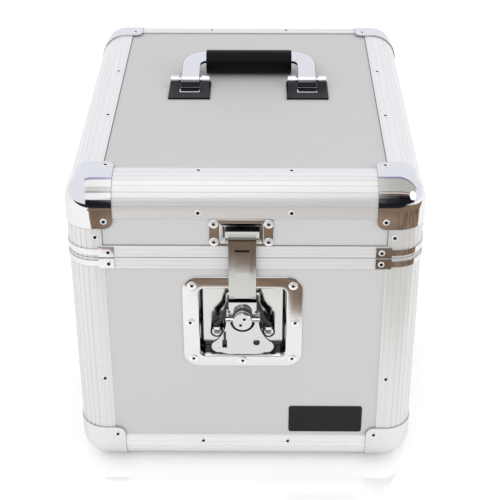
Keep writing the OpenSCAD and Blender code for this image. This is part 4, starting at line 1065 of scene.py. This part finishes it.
@dataclass
class LatchWork:
    """The latch's moving pieces: strap, key, slider and stud.

    Each shape method moves one of the piece's points, and each finish method chooses a face's finish. Both take
    millimetres. Sideways, up and out count from the stud and from the case surface, and a part of a face's normal
    above or below a limit tells which way the face looks.
    """

    strap_edge: float = 13.6
    strap_front: float = 4.1
    strap_top: float = 93.2
    strap_lift: float = 0.9
    rest_tilt: float = 1.5
    near_top: float = 1.5
    hook_lift: float = 4.2
    hook_lean: float = 1.0
    leg_top: float = 22.0
    leg_high: float = 40.0
    leg_low: float = -12.0
    leg_tuck: float = 13.2
    head_line: tuple[float, float] = (91.4, 92.8)
    notch: float = 12.5
    notch_top: float = -3.0
    notch_wide: float = 1.06
    notch_deep: float = 1.15
    post_x: float = 26.5
    post_drop: float = 19.0
    post_top: float = 1.5
    ring_radii: tuple[float, float] = (4.9, 6.6)
    ring_turn: tuple[float, float] = (125.0, 415.0)
    ring_steps: int = 33
    ring_low: float = -0.1
    ring_high: float = 0.12
    field_in: float = 1.6
    field_high_in: float = 2.2
    field_mid: float = 65.0
    field_raise: float = 4.0
    stud_face: float = 12.6
    neck: float = 8.0
    staple_x: float = -18.3
    staple_half: float = 1.6
    plate_high: float = 20.0
    shelf_drop: float = 2.6
    post_in: float = 19.0
    post_low: float = -11.0
    post_foot: float = -26.0
    head_low: float = 10.5
    head_share: float = 0.925
    # Bands round the stud that are painted black as shade.
    painted_shade_rings: tuple[tuple[float, float], ...] = ((3.4, 4.3), (5.6, 6.7), (8.2, 9.4))

    def shape_strap(self, point: Vector) -> Vector:
        """Lifts the strap's head, tucks in its legs and slopes the sides of its raised field.

        Args:
            point: A point of the strap.

        Returns:
            The moved point.
        """
        side, up, out = in_latch(point)
        flat = out - (up + self.post_drop) * math.tan(math.radians(self.rest_tilt))
        if self.strap_top - self.near_top < up < self.strap_top + self.near_top:
            up += self.strap_lift
        elif up >= self.strap_top + self.near_top:
            up += self.hook_lift
            if flat > -1.0:
                out += self.hook_lean
        elif self.leg_top < up < self.leg_high and abs(side) > self.strap_edge + 2.0:
            side = math.copysign(self.leg_tuck, side)
        elif up > self.leg_high and flat > self.strap_front + 0.4:
            side -= math.copysign(min(self.field_in, abs(side)), side)
            up += self.field_raise - self.field_high_in if up > self.field_mid else self.field_high_in
        elif up > self.field_mid and flat > self.strap_front - 0.3:
            up += self.field_raise
        return latch_point(side, up, out) / MM

    def strap_finish(self, middle: Vector, normal: Vector) -> int:
        """Painted shade on the legs below the strap, in a line across its head and on the top of its raised field.

        Args:
            middle: A face's middle.
            normal: Its normal.

        Returns:
            Index of the face's finish.
        """
        _, up, _ = in_latch(middle)
        if up < self.leg_top:
            return 1 if up > self.leg_low or abs(normal.x) > 0.5 else 0
        in_line = self.head_line[0] < up < self.head_line[1] and normal.y < -0.5
        return 1 if in_line or normal.z > 0.2 and self.field_mid < up < self.strap_top - 4.0 else 0

    def shape_key(self, point: Vector) -> Vector:
        """Widens the key's notch round the stud.

        Args:
            point: A point of the key.

        Returns:
            The moved point.
        """
        side, up, out = in_latch(point)
        if math.hypot(side, up) < self.notch and up < self.notch_top:
            side, up = side * self.notch_wide, up * self.notch_deep
        return latch_point(side, up, out) / MM

    def key_finish(self, middle: Vector, normal: Vector) -> int:
        """Painted shade on the walls of the key's slot and hole, and along its edge."""
        return 1 if abs(normal.y) < 0.5 else 0

    def shape_slider(self, point: Vector) -> Vector:
        """Slopes the slider's shelf down to its front plate.

        Args:
            point: A point of the slider.

        Returns:
            The moved point.
        """
        side, up, out = in_latch(point)
        if up > self.plate_high - 0.5 and out > 0.0:
            up -= self.shelf_drop
        return latch_point(side, up, out) / MM

    def slider_finish(self, middle: Vector, normal: Vector) -> int:
        """Painted shade on the shelf, the post sides and the staple.

        Args:
            middle: A face's middle.
            normal: Its normal.

        Returns:
            Index of the face's finish.
        """
        side, up, out = in_latch(middle)
        staple = abs(side - self.staple_x) < self.staple_half and out > 0.0
        post = abs(side) > self.post_in and up > self.post_foot and out > self.post_low and normal.y > -0.5
        return 1 if normal.z > 0.7 or staple or post else 0

    def shape_stud(self, point: Vector) -> Vector:
        """Narrows the stud's head, so that the painted shade ring round it shows.

        Args:
            point: A point of the stud.

        Returns:
            The moved point.
        """
        side, up, out = in_latch(point)
        if out > self.head_low and math.hypot(side, up) > self.neck + 1.0:
            side, up = side * self.head_share, up * self.head_share
        return latch_point(side, up, out) / MM

    def stud_finish(self, middle: Vector, normal: Vector) -> int:
        """Painted shade as black rings, on the neck and in the spanner holes, and a painted highlight on the sides
        below the head.

        Args:
            middle: A face's middle.
            normal: Its normal.

        Returns:
            Index of the face's finish.
        """
        side, up, out = in_latch(middle)
        inside = math.hypot(side, up) < self.neck + 0.4
        if out < self.head_low and any(low < out < high for low, high in self.painted_shade_rings):
            return 3
        if out < self.stud_face and (inside or normal.y < -0.7):
            return 1
        return 2 if out < self.head_low and normal.y > -0.5 else 0

    def post_rings(self) -> None:
        """Builds black rings that paint shade on the slider's posts, each open where the strap's leg passes."""
        piece = Piece("latch_post_shade_rings", "slider", "bright_steel", (PAINTED_SHADOW_BLACK,))
        low, high = self.post_top + self.ring_low, self.post_top + self.ring_high
        inner, outer = self.ring_radii
        outline = ((inner, low), (inner, high), (outer, high), (outer, low))
        for sign in (-1, 1):
            piece.loft([
                [latch_point(sign * self.post_x + r * math.cos(turn), r * math.sin(turn) - self.post_drop, out)
                 for r, out in outline]
                for turn in np.radians(np.linspace(*self.ring_turn, self.ring_steps))])
        piece.make()

    def build(self) -> None:
        """Builds the four pieces and the posts' rings."""
        # The second finish paints shade on rounded edges and on faces in shadow.
        nickel = (LATCH_NICKEL, PAINTED_SHADE_NICKEL)
        lines = [(latch_point(0.0, edge, 0.0), Side.TOP) for edge in self.head_line]
        rings = [(latch_point(0.0, 0.0, edge), Side.FRONT) for dark in self.painted_shade_rings for edge in dark]
        Softened("latch_strap", "strap", "bright_steel", (STRAP_NICKEL, PAINTED_SHADE_NICKEL), radius=0.5,
                 choose=self.strap_finish, shape=self.shape_strap, cuts=lines).make()
        Softened("key_plate", "folding_key", "bright_steel", nickel, radius=0.5, choose=self.key_finish,
                 shape=self.shape_key).make()
        Softened("latch_slider", "slider", "bright_steel", nickel, radius=0.5, choose=self.slider_finish,
                 shape=self.shape_slider).make()
        self.post_rings()
        Softened("latch_stud", "latch_key", "bright_steel", (*nickel, PAINTED_PALE_HIGHLIGHT, PAINTED_SHADOW_BLACK), radius=0.4,
                 choose=self.stud_finish, shape=self.shape_stud, cuts=rings).make()


@dataclass
class BracketTrim:
    """The brackets with ears that paint a chrome highlight, bright strips round their windows that paint a highlight,
    and dark pads in the windows that paint the shade there.
    """

    handle_x: float = 1.5
    spread: float = 64.8
    pivot_y: float = 23.5
    plate_top: float = 345.4
    panel_top: float = 343.4
    # Where the plate between the ears takes painted shadow.
    band: tuple[float, float] = (16.4, 26.0)
    band_half: float = 10.5
    window_w: float = 20.0
    window_low: float = -20.0
    window_len: float = 11.0
    window_corner: float = 1.2
    steps: int = 3
    rim: float = 1.1

    def bracket_finish(self, middle: Vector, normal: Vector) -> int:
        """Ears with a painted chrome highlight and dark sides above the dark plate, and a painted shadow band between
        them.

        Args:
            middle: A face's middle, in millimetres.
            normal: Its normal.

        Returns:
            Index of the face's finish.
        """
        if middle.z > self.plate_top + 0.5:
            return 2 if abs(normal.x) < 0.5 else 0
        beside = abs(abs(middle.x - self.handle_x) - self.spread)
        low, high = self.band
        return 3 if beside < self.band_half and low < middle.y < high and normal.z > 0.9 else 0

    def build(self) -> None:
        """Builds the brackets and their trim."""
        cuts = [(mm(0.0, edge, 0.0), Side.BACK) for edge in self.band]
        cuts += [(mm(self.handle_x + side * self.spread + half, 0.0, 0.0), Side.RIGHT)
                 for side in (-1, 1) for half in (-self.band_half, self.band_half)]
        Softened("handle_brackets", "lid", "bracket_steel", (BRACKET_STEEL, PAINTED_SHADE_NICKEL, CHROME, PAINTED_SHADOW_BLACK),
                 radius=0.6, choose=self.bracket_finish, cuts=cuts).make()
        # The window strips paint a highlight in chrome; the dark pads paint the shade inside the windows.
        highlight_rims = Piece("bracket_window_highlight_rims", "lid", "bright_steel", (CHROME,))
        shade_pads = Piece("bracket_window_shade_pads", "lid", "feet_rubber", (PAINTED_SHADOW_BLACK,))
        middle_y = self.pivot_y + self.window_low + self.window_len / 2
        low, high, top = self.plate_top - 0.2, self.plate_top + 0.3, self.plate_top - 0.5
        for sign in (-1, 1):
            middle_x = self.handle_x + sign * self.spread

            def loop(grow: float, z: float, middle_x: float = middle_x) -> Loop:
                """One loop round the window."""
                return rounded_loop(self.window_w + 2 * grow, self.window_len + 2 * grow, self.window_corner,
                                    lambda a, b: mm(middle_x + a, middle_y + b, z), self.steps)

            highlight_rims.loft([loop(-0.1, low), loop(-0.1, high), loop(self.rim * 0.6, high), loop(self.rim, high - 0.2),
                       loop(self.rim, low)], wrap=True)
            shade_pads.loft([loop(-0.3, self.panel_top), loop(-0.3, top - 0.4), loop(-0.7, top), loop(-3.0, top + 0.1)])
        highlight_rims.make()
        shade_pads.make()


@dataclass
class PartingShadowLine:
    """A dark line along the lid rim's lower edge, where it meets the body rim, that paints the parting gap's shadow."""

    corner: float = 28.0
    proud: float = 0.05
    low: float = -0.15
    high: float = 0.55
    inset: float = 0.35
    steps: int = 16

    def build(self) -> None:
        """Builds the closed line."""
        def loop(grow: float, z: float) -> Loop:
            """One loop round the case."""
            return rounded_loop(CASE_W + 2 * grow, CASE_D + 2 * grow, self.corner + grow,
                                lambda a, b: mm(a, b + SHIFT_Y, PARTING + FLOOR_GAP + z), self.steps)

        piece = Piece("lid_parting_shadow_line", "lid", "feet_rubber", (PAINTED_SHADOW_LINE,))
        piece.loft([loop(-self.inset, self.low), loop(self.proud, self.low), loop(self.proud, self.high),
                    loop(-self.inset, self.high)], wrap=True)
        piece.make()


@dataclass
class Hardware:
    """Sheet and turned hardware whose shape comes from the CAD, with rounded edges or a finish."""

    # These get painted edge shade as a dark outline on their rounded edges.
    outlined: tuple[tuple[str, str, float], ...] = (
        ("base_ball_corners", "case", 0.45),
        ("lid_ball_corners", "lid", 0.45),
        ("body_rim_clips", "case", 0.4),
        ("lid_rim_clips", "lid", 0.4),
    )
    plain: tuple[tuple[str, str, float], ...] = (
        ("hinge_body_leaves", "case", 0.35),
        ("hinge_lid_leaves", "lid", 0.35),
    )
    bright: tuple[str, ...] = ("hinge_pins", "handle_pins", "latch_cam", "key_pin", "strap_pins", "foot_screws")

    def build(self) -> None:
        """Builds the rounded copies and dresses the rest."""
        for node, body, radius in self.outlined:
            Softened(node, body, "bright_steel", (CHROME, PAINTED_EDGE_SHADE), radius=radius).make()
        for node, body, radius in self.plain:
            Softened(node, body, "bright_steel", (CHROME,), radius=radius).make()
        Softened("rubber_feet", "case", "feet_rubber", (FOOT_RUBBER,), radius=0.8).make()
        Softened("badge_plate", "case", "plate_black", (PLATE_BLACK,), radius=0.25).make()
        for node in self.bright:
            dress(node, CHROME)


# ---- studio ----


WHITE: Colour = (1.0, 1.0, 1.0)
BLACK: Colour = (0.0, 0.0, 0.0)
HAZE: Colour = (0.87, 0.88, 0.94)


@dataclass(frozen=True)
class Band:
    """One band of the surround that shiny metal sees: the angle where it ends, in degrees, and its colour."""

    until: float
    colour: Colour


@dataclass
class Studio:
    """Camera, lamps, world and floor."""

    camera_at: Vector = field(default_factory=lambda: mm(16.19, -1305.3 + SHIFT_Y, 925.5 + FLOOR_GAP))
    pitch: float = 31.02
    yaw: float = -0.583
    roll: float = -0.10
    lens: float = 92.93
    sensor: float = 36.0
    clip_end: float = 60.0
    lamp_aim: tuple[float, float, float] = (0.0, 0.0, 0.2)
    floor_size: float = 12.0
    floor_tone: float = 0.97
    floor_rough: float = 0.6
    floor_lift: float = 0.18
    mirror_reach: float = 0.09
    mirror_weight: float = 0.28
    mirror_rough: float = 0.04
    card_rise: float = 0.002
    card_rough: float = 0.9
    brown: Colour = (0.15, 0.105, 0.075)
    black: Colour = (0.012, 0.011, 0.014)
    cloud_scale: float = 14.0
    cloud_detail: float = 3.0
    cloud_stops: tuple[tuple[float, float], ...] = ((0.32, 0.7), (0.72, 2.2))
    lowest_angle: float = -180.0
    highest_angle: float = 180.0
    band_blur: float = 0.6
    left_bands: tuple[Band, ...] = (
        Band(-90.0, HAZE), Band(17.0, (0.01, 0.01, 0.015)), Band(44.0, WHITE), Band(50.0, (0.35, 0.33, 0.45)),
        Band(69.0, (0.70, 0.71, 0.66)), Band(99.0, WHITE), Band(110.0, (0.40, 0.35, 0.60)), Band(180.0, HAZE))
    centre_bands: tuple[Band, ...] = (
        Band(-90.0, HAZE), Band(8.0, (0.05, 0.05, 0.06)), Band(26.0, (0.55, 0.55, 0.57)),
        Band(110.0, (1.45, 1.45, 1.45)), Band(180.0, HAZE))
    right_bands: tuple[Band, ...] = (
        Band(-90.0, HAZE), Band(35.0, (0.01, 0.01, 0.015)), Band(45.0, (0.12, 0.07, 0.05)), Band(48.0, WHITE),
        Band(53.0, (0.25, 0.17, 0.14)), Band(108.0, (0.52, 0.53, 0.49)), Band(118.0, (0.30, 0.27, 0.40)),
        Band(180.0, HAZE))
    left_part: tuple[Band, ...] = (Band(-5.6, WHITE), Band(180.0, BLACK))
    right_part: tuple[Band, ...] = (Band(4.0, BLACK), Band(180.0, WHITE))
    side_parts: tuple[Band, ...] = (Band(-28.0, WHITE), Band(68.0, BLACK), Band(180.0, WHITE))
    brown_corners: tuple[tuple[float, float], ...] = (
        (-0.44, -0.85), (-0.15, -0.63), (-0.10, -0.59), (0.04, -0.575), (0.07, -0.505), (0.20, -0.48), (1.2, 0.2),
        (3.0, -3.0), (-0.44, -1.2))
    black_corners: tuple[tuple[float, float], ...] = (
        (-0.44, -1.2), (3.0, -3.0), (3.0, -6.0), (-6.0, -6.0), (-6.0, -1.2))

    def camera(self) -> None:
        """Makes the camera at the photograph's viewpoint."""
        pitch, yaw, roll = (math.radians(a) for a in (self.pitch, self.yaw, self.roll))
        ahead = Vector((math.sin(yaw) * math.cos(pitch), math.cos(yaw) * math.cos(pitch), -math.sin(pitch)))
        right = Vector((math.cos(yaw), -math.sin(yaw), 0.0))
        up = right.cross(ahead)
        side = right * math.cos(roll) + up * math.sin(roll)
        top = up * math.cos(roll) - right * math.sin(roll)
        data = bpy.data.cameras.new("photo_camera")
        data.sensor_width = self.sensor
        data.lens = self.lens
        data.clip_end = self.clip_end
        camera = bpy.data.objects.new("photo_camera", data)
        turn = Matrix((side, top, -ahead)).transposed().to_4x4()
        camera.matrix_world = Matrix.Translation(self.camera_at) @ turn
        bpy.context.scene.collection.objects.link(camera)
        bpy.context.scene.camera = camera

    def lamp(self, name: str, at: tuple[float, float, float], size: float, power: float, mirrored: bool) -> None:
        """Makes one soft round lamp that faces the case.

        Args:
            name: The lamp's name.
            at: Its place, in metres.
            size: Its width, in metres.
            power: Its power, in watts.
            mirrored: Whether shiny metal shows the lamp itself.
        """
        data = bpy.data.lights.new(name, "AREA")
        data.shape = "DISK"
        data.size = size
        data.energy = power
        lamp = bpy.data.objects.new(name, data)
        lamp.location = at
        lamp.rotation_euler = (Vector(self.lamp_aim) - Vector(at)).to_track_quat("-Z", "Y").to_euler()
        lamp.visible_glossy = mirrored
        bpy.context.scene.collection.objects.link(lamp)

    def band_ramp(self, tree: Tree, degrees: Socket, bands: Sequence[Band]) -> Socket:
        """A colour ramp that shows one colour between each pair of angles.

        Args:
            tree: The world's node tree.
            degrees: The angle, in degrees.
            bands: The bands, from the lowest angle up.

        Returns:
            The colour.
        """
        low, high = self.lowest_angle, self.highest_angle
        scaled = put(tree, "ShaderNodeMapRange", {"Value": degrees, "From Min": low, "From Max": high})
        shown = put(tree, "ShaderNodeValToRGB", {"Fac": scaled.outputs["Result"]})
        ramp = shown.color_ramp
        begin = low
        for number, band in enumerate(bands):
            for angle in (begin + self.band_blur, band.until - self.band_blur):
                place = (angle - low) / (high - low)
                if number == 0 and angle == begin + self.band_blur:
                    stop = ramp.elements[0]
                    stop.position = place
                else:
                    stop = ramp.elements.new(place)
                stop.color = (*band.colour, 1.0)
            begin = band.until
        ramp.elements.remove(ramp.elements[-1])
        return shown.outputs["Color"]

    def world(self) -> None:
        """A white surround; shiny metal sees the studio's dark flags and pale boards instead."""
        world = bpy.data.worlds.new("studio_world")
        bpy.context.scene.world = world
        world.use_nodes = True
        tree = world.node_tree
        place = tree.nodes.new("ShaderNodeTexCoord")
        split = put(tree, "ShaderNodeSeparateXYZ", {"Vector": place.outputs["Generated"]})
        x, y, z = (split.outputs[name] for name in "XYZ")
        ahead = maths(tree, "MULTIPLY", y, -1.0)
        deep = maths(tree, "SQRT", maths(tree, "ADD", maths(tree, "MULTIPLY", y, y), maths(tree, "MULTIPLY", z, z)))
        over = maths(tree, "DEGREES", maths(tree, "ARCTAN2", z, ahead))
        around = maths(tree, "DEGREES", maths(tree, "ARCTAN2", x, deep))
        left, centre, right = (self.band_ramp(tree, over, bands)
                               for bands in (self.left_bands, self.centre_bands, self.right_bands))
        at_left, at_right, at_sides = (self.band_ramp(tree, around, bands)
                                       for bands in (self.left_part, self.right_part, self.side_parts))
        pattern = mixed(tree, at_right, mixed(tree, at_left, centre, left), right)
        rays = tree.nodes.new("ShaderNodeLightPath")
        seen = mixed(tree, rays.outputs["Is Glossy Ray"], WHITE, mixed(tree, at_sides, pattern, HAZE))
        fill(tree, tree.nodes["Background"], {"Color": seen, "Strength": 1.0})

    def plane(self, name: str, corners: Sequence[tuple[float, float, float]]) -> bpy.types.Object:
        """A flat stage piece.

        Args:
            name: The piece's name.
            corners: Its corners, in metres.

        Returns:
            The plane, marked as stage.
        """
        mesh = bpy.data.meshes.new(name)
        mesh.from_pydata(list(corners), [], [tuple(range(len(corners)))])
        plane = bpy.data.objects.new(name, mesh)
        bpy.context.scene.collection.objects.link(plane)
        plane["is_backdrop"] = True
        return plane

    def floor(self) -> None:
        """The pale floor, which keeps the case's shadow and mirrors its foot faintly, close to the case."""
        half = self.floor_size / 2
        floor = self.plane("studio_floor", ((-half, -half, 0), (half, -half, 0), (half, half, 0), (-half, half, 0)))
        material, tree, shader = new_material("studio_floor")
        camera_ray = tree.nodes.new("ShaderNodeLightPath").outputs["Is Camera Ray"]
        fill(tree, shader, {
            "Base Color": (self.floor_tone, self.floor_tone, self.floor_tone, 1.0), "Roughness": self.floor_rough,
            "Specular IOR Level": 0.0, "Emission Color": (*WHITE, 1.0),
            "Emission Strength": maths(tree, "MULTIPLY", camera_ray, self.floor_lift)})
        mirror = put(tree, "ShaderNodeBsdfGlossy", {"Color": (*WHITE, 1.0), "Roughness": self.mirror_rough})
        place = tree.nodes.new("ShaderNodeTexCoord")
        split = put(tree, "ShaderNodeSeparateXYZ", {"Vector": place.outputs["Object"]})
        outside = []
        for axis, middle, size in (("X", 0.0, CASE_W), ("Y", SHIFT_Y, CASE_D)):
            away = maths(tree, "ABSOLUTE", maths(tree, "SUBTRACT", split.outputs[axis], middle * MM))
            outside.append(maths(tree, "SUBTRACT", away, size / 2 * MM))
        fade = put(tree, "ShaderNodeMapRange", {
            "Value": maths(tree, "MAXIMUM", *outside), "From Min": 0.0, "From Max": self.mirror_reach,
            "To Min": self.mirror_weight, "To Max": 0.0})
        seen = maths(tree, "MULTIPLY", fade.outputs["Result"], camera_ray)
        both = put(tree, "ShaderNodeMixShader", {0: seen, 1: shader.outputs["BSDF"], 2: mirror.outputs["BSDF"]})
        tree.links.new(both.outputs["Shader"], tree.nodes["Material Output"].inputs["Surface"])
        floor.data.materials.append(material)

    def card(self, name: str, colour: Colour, corners: Sequence[tuple[float, float]]) -> None:
        """A dark card on the floor in front of the view, which only shiny metal sees.

        Args:
            name: The card's name.
            colour: Its colour.
            corners: Its corners on the floor, in metres.
        """
        card = self.plane(name, [(x, y, self.card_rise) for x, y in corners])
        material, tree, shader = new_material(name)
        place = tree.nodes.new("ShaderNodeTexCoord")
        cloud = put(tree, "ShaderNodeTexNoise", {
            "Vector": place.outputs["Object"], "Scale": self.cloud_scale, "Detail": self.cloud_detail})
        tone = put(tree, "ShaderNodeValToRGB", {"Fac": cloud.outputs["Fac"]})
        for stop, (position, level) in zip(tone.color_ramp.elements, self.cloud_stops):
            stop.position = position
            stop.color = (*(level * part for part in colour), 1)
        fill(tree, shader, {
            "Base Color": tone.outputs["Color"], "Roughness": self.card_rough, "Specular IOR Level": 0.0})
        card.data.materials.append(material)
        for rays in ("camera", "diffuse", "shadow", "transmission"):
            setattr(card, f"visible_{rays}", False)

    def build(self) -> None:
        """Sets up the whole studio."""
        self.camera()
        self.world()
        self.floor()
        self.card("brown_card", self.brown, self.brown_corners)
        self.card("black_card", self.black, self.black_corners)
        self.lamp("key_lamp", (-0.9, -2.2, 1.8), size=1.6, power=8.0, mirrored=False)
        self.lamp("side_lamp", (1.9, -0.9, 0.95), size=0.95, power=4.5, mirrored=True)
        bpy.context.scene.view_settings.view_transform = "Standard"
        log.info("studio ready")


def write_sizes() -> None:
    """Builds the CAD box and the dressed model's box as plain lists, and keeps neither."""
    def plain(box: Sequence[Iterable[float]]) -> list[list[float]]:
        """A box as plain lists of numbers."""
        return [[float(v) for v in corner] for corner in box]

    {"cad": plain(cad_box), "visual": plain(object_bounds())}


def main() -> None:
    """Builds and dresses the sub-assemblies in order."""
    Studio().build()
    Shell().build()
    PanelEdgeLines().build()
    PartingShadowLine().build()
    Hardware().build()
    LatchWork().build()
    BracketTrim().build()
    PressedDish().build()
    PressedKeeper().build()
    Handle().build()
    Foam().build()
    Rivets("body_rivets", "case").build()
    Rivets("lid_rivets", "lid").build()
    write_sizes()


if __name__ == "__main__":
    main()
